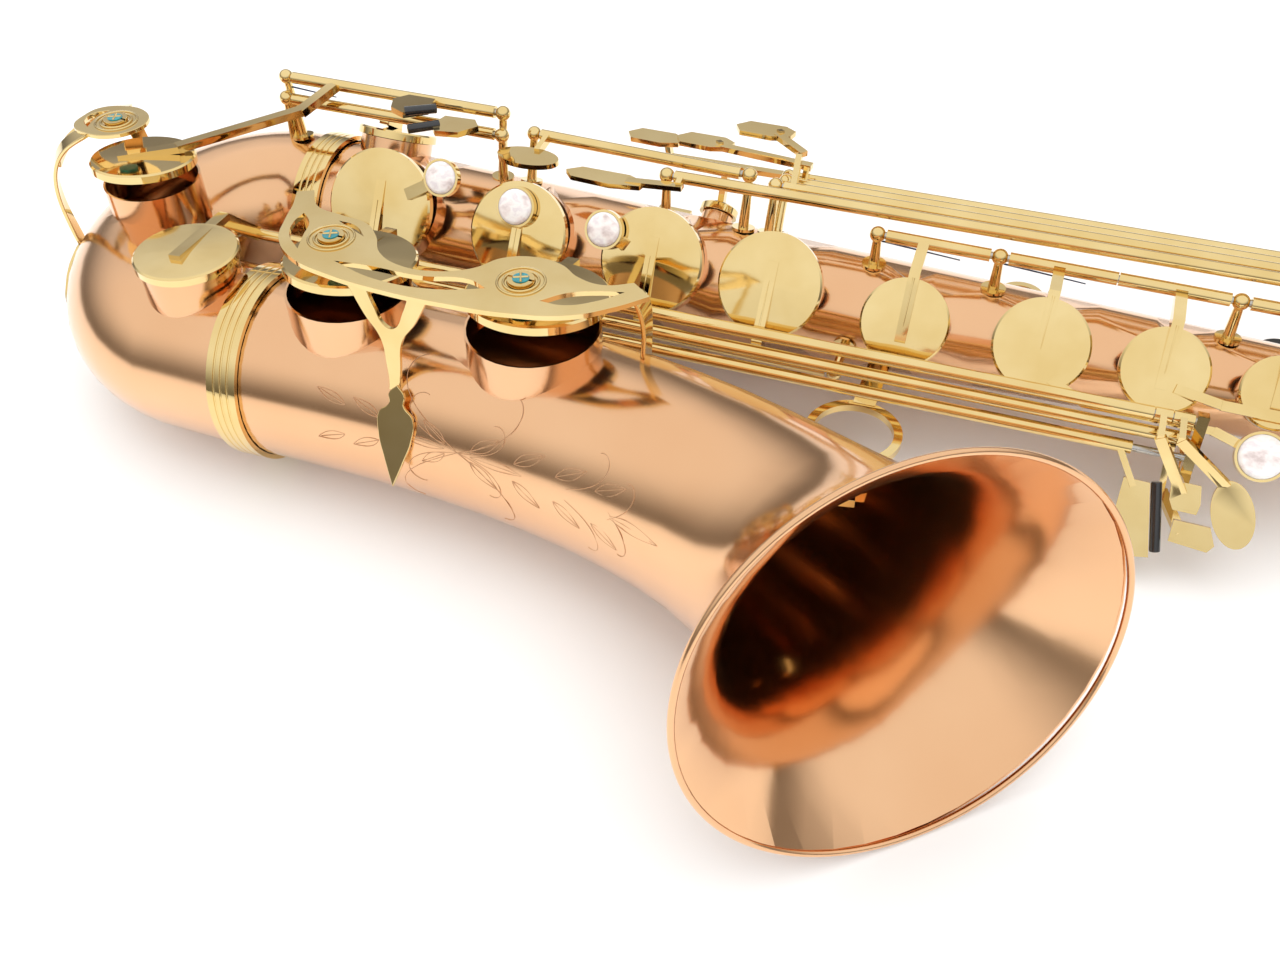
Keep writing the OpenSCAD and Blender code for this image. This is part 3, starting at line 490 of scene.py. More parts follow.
class Bench:
    """Small modelling steps that every sub-assembly uses."""

    def __init__(self, frame: dict, finishes: Finishes, lay: Lay) -> None:
        """Keeps what the pieces are made from.

        Args:
            frame: the loaded frame.
            finishes: the materials.
            lay: the instrument's place.
        """
        self.frame = frame
        self.finishes = finishes
        self.lay = lay
        self.body_of = {n: b for b, ns in frame["record"]["behaviour"]["bodies"].items() for n in ns}

    @staticmethod
    def clear() -> None:
        """Deselects every object."""
        bpy.ops.object.select_all(action="DESELECT")

    @classmethod
    def only(cls, piece: bpy.types.Object) -> None:
        """Selects one object and makes it active.

        Args:
            piece: the object.
        """
        cls.clear()
        piece.select_set(True)
        bpy.context.view_layer.objects.active = piece

    @classmethod
    def edit(cls, piece: bpy.types.Object, faces: Callable[[bpy.types.MeshPolygon], bool]) -> None:
        """Goes into edit mode with just some faces selected.

        Args:
            piece: the object.
            faces: which faces to select.
        """
        cls.only(piece)
        bpy.ops.object.mode_set(mode="EDIT")
        bpy.ops.mesh.select_mode(type="FACE")
        bpy.ops.mesh.select_all(action="DESELECT")
        bpy.ops.object.mode_set(mode="OBJECT")
        for polygon in piece.data.polygons:
            polygon.select = faces(polygon)
        bpy.ops.object.mode_set(mode="EDIT")

    @staticmethod
    def done() -> bpy.types.Object:
        """Leaves edit mode.

        Returns:
            The active object.
        """
        bpy.ops.object.mode_set(mode="OBJECT")
        return bpy.context.active_object

    def cylinder(self, name: str, radius: float, depth: float, z: float, sides: int = 48) -> bpy.types.Object:
        """Adds an upright cylinder whose foot is at z, in millimetres.

        Args:
            name: the piece's name.
            radius: its radius.
            depth: its height.
            z: where it starts.
            sides: how many sides.

        Returns:
            The piece.
        """
        self.clear()
        bpy.ops.mesh.primitive_cylinder_add(
            vertices=sides, radius=radius, depth=depth, location=(0, 0, z + depth / 2)
        )
        piece = bpy.context.active_object
        piece.name = name
        bpy.ops.object.transform_apply(location=True, rotation=True, scale=True)
        return piece

    def bevel(self, piece: bpy.types.Object, width: float, degrees: float = 35.0, steps: int = 2) -> None:
        """Rounds a piece's sharp edges and smooths its shading.

        Args:
            piece: the piece.
            width: the round's width, in the piece's own units.
            degrees: edges sharper than this are rounded.
            steps: facets across the round.
        """
        self.only(piece)
        bpy.ops.object.modifier_add(type="BEVEL")
        modifier = piece.modifiers[-1]
        modifier.width = width
        modifier.segments = steps
        modifier.limit_method = "ANGLE"
        modifier.angle_limit = math.radians(degrees)
        modifier.use_clamp_overlap = True
        bpy.ops.object.modifier_apply(modifier=modifier.name)
        bpy.ops.object.shade_smooth_by_angle(angle=math.radians(degrees))
        self.flatten(piece)

    def flatten(self, piece: bpy.types.Object) -> None:
        """Weights a piece's shading by face area, so that flat faces look flat.

        Args:
            piece: the piece.
        """
        self.only(piece)
        bpy.ops.object.modifier_add(type="WEIGHTED_NORMAL")
        modifier = piece.modifiers[-1]
        modifier.keep_sharp = True
        modifier.weight = AREA_WEIGHT
        bpy.ops.object.modifier_apply(modifier=modifier.name)

    def copy(self, master: bpy.types.Object, name: str, place: Matrix) -> bpy.types.Object:
        """Copies a master piece, with its own mesh, to a place in the row's frame.

        Args:
            master: what is copied.
            name: the copy's name.
            place: its matrix in the instrument's frame, in millimetres.

        Returns:
            The copy.
        """
        self.only(master)
        bpy.ops.object.duplicate(linked=False)
        piece = bpy.context.active_object
        piece.name = name
        piece.data.name = name
        piece.data.transform(self.lay.matrix() @ place)
        return piece

    def drop(self, piece: bpy.types.Object) -> None:
        """Removes a master piece.

        Args:
            piece: the piece.
        """
        self.only(piece)
        bpy.ops.object.delete()

    def finish(
        self, piece: bpy.types.Object, material: bpy.types.Material, slot: Slot, body: str
    ) -> bpy.types.Object:
        """Dresses a piece and lets it ride on its body.

        Args:
            piece: the piece.
            material: its finish.
            slot: the record's slot; not used.
            body: the body that it rides on.

        Returns:
            The piece.
        """
        piece.data.materials.clear()
        piece.data.materials.append(material)
        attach(piece, body)
        log.info("piece %s on %s", piece.name, body)
        return piece

    def polished(
        self,
        node: str,
        material: bpy.types.Material,
        slot: Slot,
        width: float = 0.25,
        degrees: float = 33.0,
    ) -> bpy.types.Object:
        """Puts a copy with rounded edges and smooth faces in a node's place.

        Args:
            node: the node.
            material: its finish.
            slot: the record's slot.
            width: the rounds' width in millimetres, 0 for none.
            degrees: edges sharper than this stay edges.

        Returns:
            The copy.
        """
        source = self.frame["nodes"][node]
        self.clear()
        piece = bpy.data.objects.new(node + "_finished", source.data.copy())
        bpy.context.scene.collection.objects.link(piece)
        self.only(piece)
        if piece.data.has_custom_normals:
            bpy.ops.mesh.customdata_custom_splitnormals_clear()
        bpy.ops.object.mode_set(mode="EDIT")
        bpy.ops.mesh.select_all(action="SELECT")
        bpy.ops.mesh.remove_doubles(threshold=WELD)
        bpy.ops.mesh.dissolve_limited(angle_limit=math.radians(FLAT))
        bpy.ops.mesh.mark_sharp(clear=True)
        bpy.ops.object.mode_set(mode="OBJECT")
        if width > 0:
            self.bevel(piece, width * MM, degrees)
        else:
            bpy.ops.object.shade_smooth_by_angle(angle=math.radians(degrees))
        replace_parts(piece, node)
        return self.finish(piece, material, slot, self.body_of[node])

    def tubes(
        self, name: str, lines: Sequence[Sequence[Vector]], radius: float, closed: bool = False
    ) -> bpy.types.Object:
        """Makes round wires along lines as one mesh.

        Args:
            name: the piece's name.
            lines: points in the row's frame.
            radius: the wires' radius in metres.
            closed: whether each line is a loop.

        Returns:
            The piece.
        """
        curve = bpy.data.curves.new(name, "CURVE")
        curve.dimensions = "3D"
        curve.bevel_depth = radius
        curve.bevel_resolution = 1
        curve.use_fill_caps = True
        for line in lines:
            spline = curve.splines.new("POLY")
            spline.points.add(len(line) - 1)
            for spot, place in zip(spline.points, line):
                spot.co = (*place, 1.0)
            spline.use_cyclic_u = closed
        self.clear()
        piece = bpy.data.objects.new(name, curve)
        bpy.context.scene.collection.objects.link(piece)
        self.only(piece)
        bpy.ops.object.convert(target="MESH")
        piece = bpy.context.active_object
        bpy.ops.object.shade_smooth()
        return piece

    def plate(
        self,
        name: str,
        outlines: Sequence[Sequence[tuple]],
        thickness: float,
        place: Matrix,
        edge: float = 0.25,
    ) -> bpy.types.Object:
        """Cuts a flat plate with smooth outlines and holes.

        Args:
            name: the piece's name.
            outlines: closed outlines of (x, y) points in millimetres; a third item marks a corner.
            thickness: the plate's thickness.
            place: its frame in the instrument's frame; the plate starts at z 0.
            edge: how far its edges are rounded.

        Returns:
            The plate.
        """
        curve = bpy.data.curves.new(name, "CURVE")
        curve.dimensions = "2D"
        curve.fill_mode = "BOTH"
        curve.extrude = thickness / 2
        curve.resolution_u = 7
        for outline in outlines:
            spline = curve.splines.new("BEZIER")
            spline.bezier_points.add(len(outline) - 1)
            for knot, spot in zip(spline.bezier_points, outline):
                knot.co = (spot[0], spot[1], 0.0)
                kind = "VECTOR" if len(spot) > 2 else "AUTO"
                knot.handle_left_type = kind
                knot.handle_right_type = kind
            spline.use_cyclic_u = True
        piece = bpy.data.objects.new(name, curve)
        bpy.context.scene.collection.objects.link(piece)
        self.only(piece)
        bpy.ops.object.convert(target="MESH")
        piece = bpy.context.active_object
        bpy.ops.object.mode_set(mode="EDIT")
        bpy.ops.mesh.select_all(action="SELECT")
        bpy.ops.mesh.remove_doubles(threshold=0.01)
        bpy.ops.mesh.normals_make_consistent(inside=False)
        bpy.ops.mesh.dissolve_limited(angle_limit=math.radians(1))
        bpy.ops.object.mode_set(mode="OBJECT")
        self.bevel(piece, edge, 60.0, 2)
        lift = Matrix.Translation((0, 0, thickness / 2))
        piece.data.transform(self.lay.matrix() @ place @ lift)
        return piece

    def ribbon(
        self, name: str, stations: Sequence[tuple[Point, Point, float]], thickness: float
    ) -> bpy.types.Object:
        """Bends a flat strip through stations, smooth between them.

        Args:
            name: the piece's name.
            stations: each one's middle, its direction across and its width, in millimetres.
            thickness: the strip's thickness.

        Returns:
            The strip.
        """
        self.clear()
        bpy.ops.mesh.primitive_grid_add(x_subdivisions=2, y_subdivisions=len(stations) - 1, size=2)
        piece = bpy.context.active_object
        piece.name = name
        for vertex in piece.data.vertices:
            row = round((vertex.co.y + 1) / 2 * (len(stations) - 1))
            middle, across, width = stations[row]
            place = Vector(middle) + Vector(across).normalized() * (vertex.co.x * width / 2)
            vertex.co = self.lay.point(place)
        self.only(piece)
        for kind in ("SUBSURF", "SOLIDIFY", "BEVEL"):
            bpy.ops.object.modifier_add(type=kind)
            modifier = piece.modifiers[-1]
            if kind == "SUBSURF":
                modifier.levels = modifier.render_levels = 3
            elif kind == "SOLIDIFY":
                modifier.thickness = thickness * MM
                modifier.offset = 0.0
            else:
                modifier.width = 0.25 * MM
                modifier.segments = 2
                modifier.limit_method = "ANGLE"
                modifier.angle_limit = math.radians(50)
            bpy.ops.object.modifier_apply(modifier=modifier.name)
        bpy.ops.object.shade_smooth_by_angle(angle=math.radians(40))
        return piece

    def join(self, name: str, pieces: Sequence[bpy.types.Object]) -> bpy.types.Object:
        """Joins pieces into one.

        Args:
            name: the result's name.
            pieces: what is joined.

        Returns:
            The joined piece.
        """
        self.clear()
        for piece in pieces:
            piece.select_set(True)
        bpy.context.view_layer.objects.active = pieces[0]
        bpy.ops.object.join()
        pieces[0].name = name
        return pieces[0]


# ---------------------------------------------------------------- sub-assemblies


@dataclass
class Tubework:
    """Body tube, bow, bell and neck with their rings and plates."""

    bench: Bench
    bell_r: float = 38.5
    rim_r: float = 77.5
    cone_gain: float = 4.5
    arc: float = 310.0
    flare: float = 22.0

    def bell_point(self, t: float) -> Vector:
        """Gives a point of the bell's centre line.

        Args:
            t: place along the bell, 0 at the bow and 1 at the rim.

        Returns:
            The point, in millimetres.
        """
        start = Vector((32.0, -108.0, -9.3))
        end = Vector((316.4, -192.2, 9.5))
        c0 = start + 113 * Vector((0.999, 0.047, 0.009))
        c1 = end - 111 * Vector((0.626, -0.761, 0.169))
        s = 1 - t
        return s**3 * start + 3 * s * s * t * c0 + 3 * s * t * t * c1 + t**3 * end

    def bell_radius(self, t: float) -> float:
        """Gives the bell's outer radius.

        Args:
            t: place along the bell.

        Returns:
            The radius, in millimetres.
        """
        gain = self.rim_r - self.bell_r - self.cone_gain - 0.8
        return self.bell_r + self.cone_gain * t + gain * math.exp(-(1 - t) * self.arc / self.flare)

    def on_bell(self, t: float, around: float, lift: float = 0.0) -> Vector:
        """Gives a point on the bell's outside, in the row's frame.

        Args:
            t: place along the bell.
            around: degrees round from the side away from the body towards the top.
            lift: millimetres above the surface.

        Returns:
            The point.
        """
        middle = self.bell_point(t)
        along = (self.bell_point(t + 0.001) - self.bell_point(t - 0.001)).normalized()
        side = along.cross(Vector((0, 0, 1))).normalized()
        up = side.cross(along)
        a = math.radians(around)
        radius = self.bell_radius(t) + lift
        return self.bench.lay.point(middle + radius * (math.cos(a) * side + math.sin(a) * up))

    def scrolls(self) -> list[list[Vector]]:
        """Draws a plain leaf-scroll ornament on the bell.

        Returns:
            The lines, in the row's frame.
        """
        lines: list[list[Vector]] = []

        def lay_line(points: Sequence[tuple[float, float]]) -> None:
            """Adds one line.

            Args:
                points: its (t, degrees) pairs.
            """
            lines.append([self.on_bell(t, a, 0.02) for t, a in points])

        def frond(t: float, a: float, length: float, lean: float, curl: float) -> None:
            """Adds a curling stem.

            Args:
                t: place along the bell where it starts.
                a: degrees round the bell where it starts.
                length: its length in t.
                lean: degrees from the bell's line at its start.
                curl: degrees more at its end.
            """
            path = [(t, a)]
            for i in range(1, FROND_STEPS + 1):
                s = i / FROND_STEPS
                turn = math.radians(lean + curl * s * s)
                step = length / FROND_STEPS * (1.1 - 0.75 * s)
                t += step * math.cos(turn)
                a += step * math.sin(turn) * DEGREES_PER_T
                path.append((t, a))
            lay_line(path)

        def leaf(t: float, a: float, length: float, width: float, lean: float) -> None:
            """Adds a pointed leaf with a midrib.

            Args:
                t: place along the bell of its foot.
                a: degrees round the bell of its foot.
                length: its length in t.
                width: half its width in degrees, before it narrows.
                lean: degrees from the bell's line.
            """
            c, s = math.cos(math.radians(lean)), math.sin(math.radians(lean))
            for side in (-1, 1):
                edge = []
                for i in range(LEAF_STEPS + 1):
                    u = i / LEAF_STEPS
                    off = side * width * math.sin(math.pi * u) ** 0.9 * (1 - 0.35 * u)
                    along = t + length * u * c - off * s / DEGREES_PER_T
                    edge.append((along, a + length * u * s * DEGREES_PER_T + off * c))
                lay_line(edge)
            midrib = []
            for i in range(MIDRIB_STEPS + 1):
                reach = length * 0.9 * i / MIDRIB_STEPS
                midrib.append((t + reach * c, a + reach * s * DEGREES_PER_T))
            lay_line(midrib)

        for side in (-1, 1):
            base = 18.0
            frond(0.34, base, 0.17, side * 10, side * 200)
            frond(0.34, base, 0.24, side * 28, side * 150)
            frond(0.34, base, 0.20, 180 - side * 16, -side * 190)
            frond(0.34, base, 0.27, 180 - side * 34, -side * 120)
            frond(0.52, base + side * 3, 0.17, side * 22, side * 185)
            frond(0.60, base - side * 2, 0.13, side * 35, side * 170)
            for i in range(4):
                leaf(0.36 + 0.07 * i, base + side * (3 + 2 * i), 0.055, 3.6, side * (38 - 4 * i))
                leaf(0.32 - 0.05 * i, base + side * (3 + 2 * i), 0.045, 3.2, 180 - side * (38 - 4 * i))
        leaf(0.36, base, 0.085, 3.0, 0)
        leaf(0.32, base, 0.07, 2.8, 180)
        leaf(0.60, base, 0.10, 3.4, 0)
        return lines

    def build(self) -> None:
        """Makes and dresses the pieces."""
        bench, f = self.bench, self.bench.finishes
        for node in ("body_tube", "bow", "bell", "neck_tube"):
            bench.polished(node, f.bronze, Slot.BRONZE, 0.18, 38.0)
        bench.polished("bell_rim_bead", f.bronze, Slot.BRONZE, 0.0, 60.0)
        for node in ("body_bow_ring", "bell_bow_ring", "bell_brace", "neck_receiver", "neck_clamp_screw"):
            bench.polished(node, f.gold, Slot.GOLD, 0.25, 33.0)
        bench.polished("bow_guard_plates", f.gold, Slot.GOLD, 0.12, 40.0)
        bench.polished("neck_cork", f.cork, Slot.CORK, 0.5, 40.0)
        wires = bench.tubes("bell_leaf_scrolls", self.scrolls(), 0.00016)
        bench.finish(wires, f.etched, Slot.BRONZE, "instrument")


@dataclass
class Guards:
    """The openwork guards over the low cups, with their legs, bumper rims and leaf foot."""

    bench: Bench
    height: float = 60.0
    bumpers: tuple[tuple[float, float], ...] = ((75.0, -111.0), (154.0, -113.0))
    low_c_boss: tuple[float, float, float] = (-58.0, -66.0, 63.0)
    hole: float = 5.2
    top: float = 2.0
    boss: float = 1.8
    rings: tuple[tuple[float, float], ...] = ((8.6, 0.1), (6.4, 0.2))
    wire: float = 0.55

    @staticmethod
    def ring(x: float, y: float, radius: float) -> list[tuple]:
        """Gives a round outline.

        Args:
            x: its centre's X.
            y: its centre's Y.
            radius: its radius.

        Returns:
            The outline's points.
        """
        turns = [math.radians(360 / RING_KNOTS * i) for i in range(RING_KNOTS)]
        return [(x + radius * math.cos(a), y + radius * math.sin(a)) for a in turns]

    def rims(self, name: str, spots: Sequence[Point]) -> bpy.types.Object:
        """Makes the raised rims round the bumper screws.

        Args:
            name: the piece's name.
            spots: the rims' centres in the instrument's frame.

        Returns:
            The rims.
        """
        point = self.bench.lay.point
        turns = [math.radians(360 / RIM_SIDES * i) for i in range(RIM_SIDES)]
        lines = [
            [point((x + radius * math.cos(a), y + radius * math.sin(a), z + lift)) for a in turns]
            for x, y, z in spots
            for radius, lift in self.rings
        ]
        return self.bench.tubes(name, lines, self.wire * MM, closed=True)

    def long_guard(self) -> None:
        """Makes the guard over the low B and B flat cups."""
        bench = self.bench
        outer = [
            (44, -86, 1), (50, -83, 1), (58, -93), (70, -95.5), (82, -97.5), (90, -104), (97, -113.5),
            (108, -118.5), (122, -117.5), (134, -111), (141, -101.5), (152, -96.8), (163, -98),
            (172, -103.5), (182, -105), (192, -100, 1), (200, -106, 1), (191, -116), (178, -126),
            (158, -132), (134, -134.5), (110, -134.8), (86, -132.5), (68, -127.5), (56.5, -118),
            (51, -105), (48, -95),
        ]
        top = bench.plate(
            "long_guard_top",
            [
                outer,
                *(self.ring(*spot, self.hole) for spot in self.bumpers),
                [(55.5, -99, 1), (61, -104), (64, -113), (67, -121.5, 1), (59, -114.5), (55.4, -106)],
                [(71, -99.3, 1), (79, -100.3), (86, -106, 1), (78, -102.6)],
                [
                    (84, -124, 1), (98, -122.5), (118, -122), (136, -118), (144, -121, 1),
                    (128, -127.5), (104, -129.3),
                ],
                [(165, -121.5, 1), (172, -114), (182, -109), (191, -106.5, 1), (184, -114.5), (174, -121)],
            ],
            self.top,
            Matrix.Translation((0, 0, self.height)),
        )
        leg = axes(Vector((109, -130.5, 60.6)), Vector((1, 0, 0)), Vector((0, 45.0, -6.0)))
        front = bench.plate(
            "long_guard_leg",
            [
                [
                    (-17, 1, 1), (-9, 1, 1), (-6, 9), (-1.6, 16.5), (1.6, 16.5), (6, 9), (9, 1, 1),
                    (17, 1, 1), (10.5, 13), (4.4, 22), (3.0, 32), (2.6, 42), (4, 48), (0, 51.5),
                    (-4, 48), (-2.6, 42), (-3.0, 32), (-4.4, 22), (-10.5, 13),
                ]
            ],
            1.8,
            leg,
        )
        foot = bench.plate(
            "long_guard_leaf",
            [
                [
                    (-20, 0, 1), (-16, -3.4), (-12.5, -3.0), (-8, -7.2), (1, -7.0), (10, -4.2),
                    (21.5, 0, 1), (10, 4.2), (1, 7.0), (-8, 7.2), (-12.5, 3.0), (-16, 3.4),
                ]
            ],
            1.4,
            axes(Vector((112, -145, 4)), Vector((0, -0.35, -0.9)), Vector((0, -0.9, 0.35))),
            0.35,
        )
        strips = {
            "right": [
                ((192, -104.5, 61.2), (0.3, 1, 0), 6.5),
                ((196.5, -103, 58.5), (0.2, 1, 0), 8.0),
                ((197.5, -101.5, 46), (0, 1, 0), 7.0),
                ((196.5, -100.5, 36), (0, 1, 0), 7.5),
                ((196, -100, 28.5), (0, 1, 0), 9.0),
            ],
            "left": [
                ((51, -90, 61), (0.7, -0.7, 0), 7),
                ((47, -86.5, 59), (0.5, -0.8, 0), 6.6),
                ((45.6, -84.6, 48), (0.2, -1, 0), 5.4),
                ((45.8, -84, 34), (0.1, -1, 0), 5.6),
                ((46, -84, 20), (0, -1, 0), 7.5),
            ],
        }
        ends = [bench.ribbon(f"long_guard_{end}", way, 1.8) for end, way in strips.items()]
        rims = self.rims("long_guard_rims", [(x, y, self.height + self.top) for x, y in self.bumpers])
        whole = bench.join("bell_key_guard_finished", [top, front, foot, *ends, rims])
        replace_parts(whole, "bell_key_guard")
        bench.finish(whole, bench.finishes.gold, Slot.GOLD, "instrument")

    def low_c_guard(self) -> None:
        """Makes the arched guard over the low C cup."""
        bench = self.bench
        x, y, z = self.low_c_boss
        boss = bench.plate(
            "low_c_guard_boss",
            [
                [
                    (x + 12, y - 4), (x + 12.4, y + 5), (x + 5, y + 12.5), (x - 6, y + 13),
                    (x - 15, y + 8), (x - 17, y), (x - 15, y - 9), (x - 6, y - 13), (x + 5, y - 11.5),
                ],
                self.ring(x, y, self.hole),
                [(x - 8.5, y - 8, 1), (x - 13.5, y - 4), (x - 14, y + 3), (x - 9.5, y + 7, 1), (x - 10.5, y)],
            ],
            self.boss,
            Matrix.Translation((0, 0, z)),
        )
        strips = {
            "front": [
                ((-65, -76, 63.8), (1, -0.7, 0), 9),
                ((-74, -83, 60), (1, -0.9, 0), 8.5),
                ((-80, -86.5, 50), (0.8, -1, 0), 8),
                ((-82.5, -87, 36), (0.6, -1, 0), 6.4),
                ((-82, -86, 22), (0.6, -1, 0), 7),
                ((-81, -85, 11), (0.6, -1, 0), 9),
            ],
            "back": [
                ((-64, -54.5, 63.8), (1, 0.6, 0), 9),
                ((-73, -45, 60.5), (1, 0.9, 0), 8.5),
                ((-79.5, -37, 51), (0.8, 1, 0), 8),
                ((-81, -33, 37), (0.6, 1, 0), 6.4),
                ((-80, -31, 24), (0.6, 1, 0), 7),
                ((-78, -30, 14), (0.6, 1, 0), 9),
            ],
            "arch": [
                ((-79.5, -84, 50), (0.2, 0.1, 1), 7),
                ((-83, -74, 54), (0.3, 0, 1), 5.5),
                ((-83.5, -60, 55.5), (0.4, 0, 1), 5.5),
                ((-82.5, -47, 54), (0.3, 0, 1), 5.5),
                ((-79, -38, 51), (0.2, -0.1, 1), 7),
            ],
            "rib": [
                ((-71, -62, 64), (0, 1, 0), 6),
                ((-77, -62, 62.5), (0, 1, 0), 5),
                ((-81.5, -61, 59), (0, 1, 0), 5),
                ((-83.5, -60, 54), (0, 1, 0), 7),
            ],
        }
        bands = [bench.ribbon(f"low_c_guard_{part}", way, 1.6) for part, way in strips.items()]
        rims = self.rims("low_c_guard_rims", [(x, y, z + self.boss)])
        whole = bench.join("low_c_guard_finished", [boss, *bands, rims])
        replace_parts(whole, "low_c_guard")
        bench.finish(whole, bench.finishes.gold, Slot.GOLD, "instrument")

    def bumper_tops(self) -> None:
        """Makes the felt and the cross on top of each bumper screw."""
        bench, f = self.bench, self.bench.finishes
        spots = [*((x, y, self.height) for x, y in self.bumpers), self.low_c_boss]
        disc = bench.cylinder("felt_master", 3.1, 0.5, 3.3, 32)
        bench.edit(disc, lambda p: p.normal.z > FACING)
        bpy.ops.mesh.inset(thickness=0.8, depth=0.15)
        bench.done()
        bench.bevel(disc, 0.12, 30.0, 2)
        bars = []
        for turn in (25.0, 115.0):
            bar = bench.cylinder("cross_master", 0.5, 5.6, -2.8, 6)
            bar.data.transform(
                Matrix.Translation((0, 0, 3.95))
                @ Matrix.Rotation(math.radians(turn), 4, "Z")
                @ Matrix.Rotation(math.radians(90), 4, "Y")
            )
            bench.bevel(bar, 0.12, 30.0, 1)
            bars.append(bar)
        cross = bench.join("cross_master", bars)
        for i, spot in enumerate(spots):
            place = Matrix.Translation(spot)
            top = bench.copy(disc, f"bumper_felt_{i + 1}", place)
            bench.finish(top, f.felt, Slot.FELT, "instrument")
            top = bench.copy(cross, f"bumper_cross_{i + 1}", place)
            bench.finish(top, f.gold, Slot.GOLD, "instrument")
        bench.drop(disc)
        bench.drop(cross)

    def build(self) -> None:
        """Makes and dresses the pieces."""
        self.long_guard()
        self.low_c_guard()
        self.bumper_tops()


@dataclass(frozen=True)
class Cup:
    """One pad cup: the node it belongs to, its frame and its radius."""

    node: str
    place: Matrix
    radius: float


@dataclass
class Keywork:
    """Keys, their pads, pearls and rollers, with the posts, rods, springs and bumper screws."""

    bench: Bench
    open_rh: float = 11.0
    open_lh: float = -9.0
    gap: float = 0.35
    cup_height: float = 4.4

    def cups(self) -> list[Cup]:
        """Lists the stack cups as they rest, base at z 0 of each frame.

        Returns:
            The cups.
        """
        lay = self.bench.lay
        found: list[Cup] = []
        rows = [
            ("low_d_key", 44.5, 41, 24.5, 4.8, -30, 2, self.open_rh),
            ("low_e_key", 111, 41, 21.9, 4.8, -30, 2, self.open_rh),
            ("f_key", 171.5, 41, 22, 4.8, -30, 2, self.open_rh),
            ("f_sharp_key", 222.5, 41, 21.5, 4.8, -30, 2, self.open_rh),
            ("g_sharp_key", 278, 32, 17.8, 4.2, 32, -3, 0.0),
            ("g_key", 331, 32, 18.6, 4.2, 32, -3, self.open_lh),
            ("a_key", 376.5, 32, 16.5, 4.2, 32, -3, self.open_lh),
            ("b_key", 417, 32, 14, 4.2, 32, -3, self.open_lh),
            ("c_key", 452, 32, 11.5, 4.2, 32, -3, self.open_lh),
        ]
        for node, x, around, radius, height, y, z, swing in rows:
            place = lay.stack(around) @ swung(y, z, swing) @ Matrix.Translation((x, 0, height + self.gap))
            found.append(Cup(node, place, radius))
        return found

    def fit(
        self, master: bpy.types.Object, cup: Cup, ending: str, material: bpy.types.Material, slot: Slot
    ) -> None:
        """Copies a master piece to its cup, removes the master and dresses the copy.

        Args:
            master: the piece, in the cup's frame.
            cup: the cup.
            ending: what follows the node's name in the copy's.
            material: its finish.
            slot: the record's slot.
        """
        bench = self.bench
        piece = bench.copy(master, cup.node + ending, cup.place)
        bench.drop(master)
        bench.finish(piece, material, slot, bench.body_of[cup.node])

    def pad(self, cup: Cup) -> None:
        """Makes a leather pad, rounded at its edge, with a domed resonator below it.

        Args:
            cup: the cup that holds it.
        """
        bench, f = self.bench, self.bench.finishes
        pad = bench.cylinder("pad_master", cup.radius - 0.7, 2.2, -0.28, 64)
        bench.edit(pad, lambda p: p.normal.z < -FACING)
        bpy.ops.mesh.inset(thickness=cup.radius * 0.18, depth=0.0)
        bpy.ops.mesh.inset(thickness=cup.radius * 0.22, depth=-0.12)
        bench.done()
        bench.bevel(pad, 0.5, 50.0, 3)
        self.fit(pad, cup, "_pad", f.leather, Slot.ROLLER)
        dome = bench.cylinder("dome_master", cup.radius * 0.42, 0.5, -0.46, 40)
        bench.edit(dome, lambda p: p.normal.z < -FACING)
        bpy.ops.mesh.inset(thickness=cup.radius * 0.1, depth=0.12)
        bench.done()
        bench.bevel(dome, 0.12, 40.0, 2)
        self.fit(dome, cup, "_resonator", f.gold, Slot.GOLD)

    def spike(self, cup: Cup, inward: float) -> None:
        """Makes the pointed end of a key arm that is soldered across its cup.

        Args:
            cup: the cup.
            inward: the direction of the point along Y, 1 or -1.
        """
        bench = self.bench
        bench.clear()
        bpy.ops.mesh.primitive_cube_add(size=1.0)
        piece = bpy.context.active_object
        piece.name = "spike_master"
        length = cup.radius * 1.1
        piece.scale = (4.6, length, 2.6)
        piece.location = (0, -inward * (cup.radius - length / 2 + 0.2), self.cup_height + 0.6)
        bpy.ops.object.transform_apply(location=True, rotation=True, scale=True)
        bench.edit(piece, lambda p: p.normal.y * inward > FACING)
        bpy.ops.transform.resize(value=(0.1, 1.0, 0.25))
        bpy.ops.transform.translate(value=(0.0, 0.0, -0.9))
        bench.done()
        bench.edit(piece, lambda p: p.normal.z > 0.6)
        bpy.ops.transform.resize(value=(0.16, 1.0, 1.0))
        bpy.ops.transform.translate(value=(0.0, 0.0, 1.1))
        bench.done()
        bench.bevel(piece, 0.16, 30.0, 2)
        self.fit(piece, cup, "_arm_point", bench.finishes.gold, Slot.GOLD)

    def build(self) -> None:
        """Makes and dresses the pieces."""
        bench, f = self.bench, self.bench.finishes
        special = {
            "pivot_rods": (f.steel, Slot.STEEL, 0.0),
            "needle_springs": (f.blued, Slot.BLUED, 0.0),
            "guard_felts": (f.felt, Slot.FELT, 0.3),
            "thumb_hook": (f.gold, Slot.GOLD, 0.3),
            "thumb_rest": (f.plastic, Slot.PLASTIC, 0.4),
        }
        taken = {p["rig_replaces"][0] for p in bpy.data.objects if "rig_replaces" in p}
        for node in sorted(bench.frame["nodes"]):
            if node in taken:
                continue
            material, slot, width = special.get(node, (f.gold, Slot.GOLD, 0.22))
            if node.endswith("_pearl"):
                material, slot, width = f.pearl, Slot.PEARL, 0.5
            if node.endswith("_roller"):
                material, slot, width = f.roller, Slot.ROLLER, 0.5
            bench.polished(node, material, slot, width)
        for cup in self.cups():
            self.pad(cup)
            self.spike(cup, 1.0 if cup.node in ("low_d_key", "low_e_key", "f_key", "f_sharp_key") else -1.0)


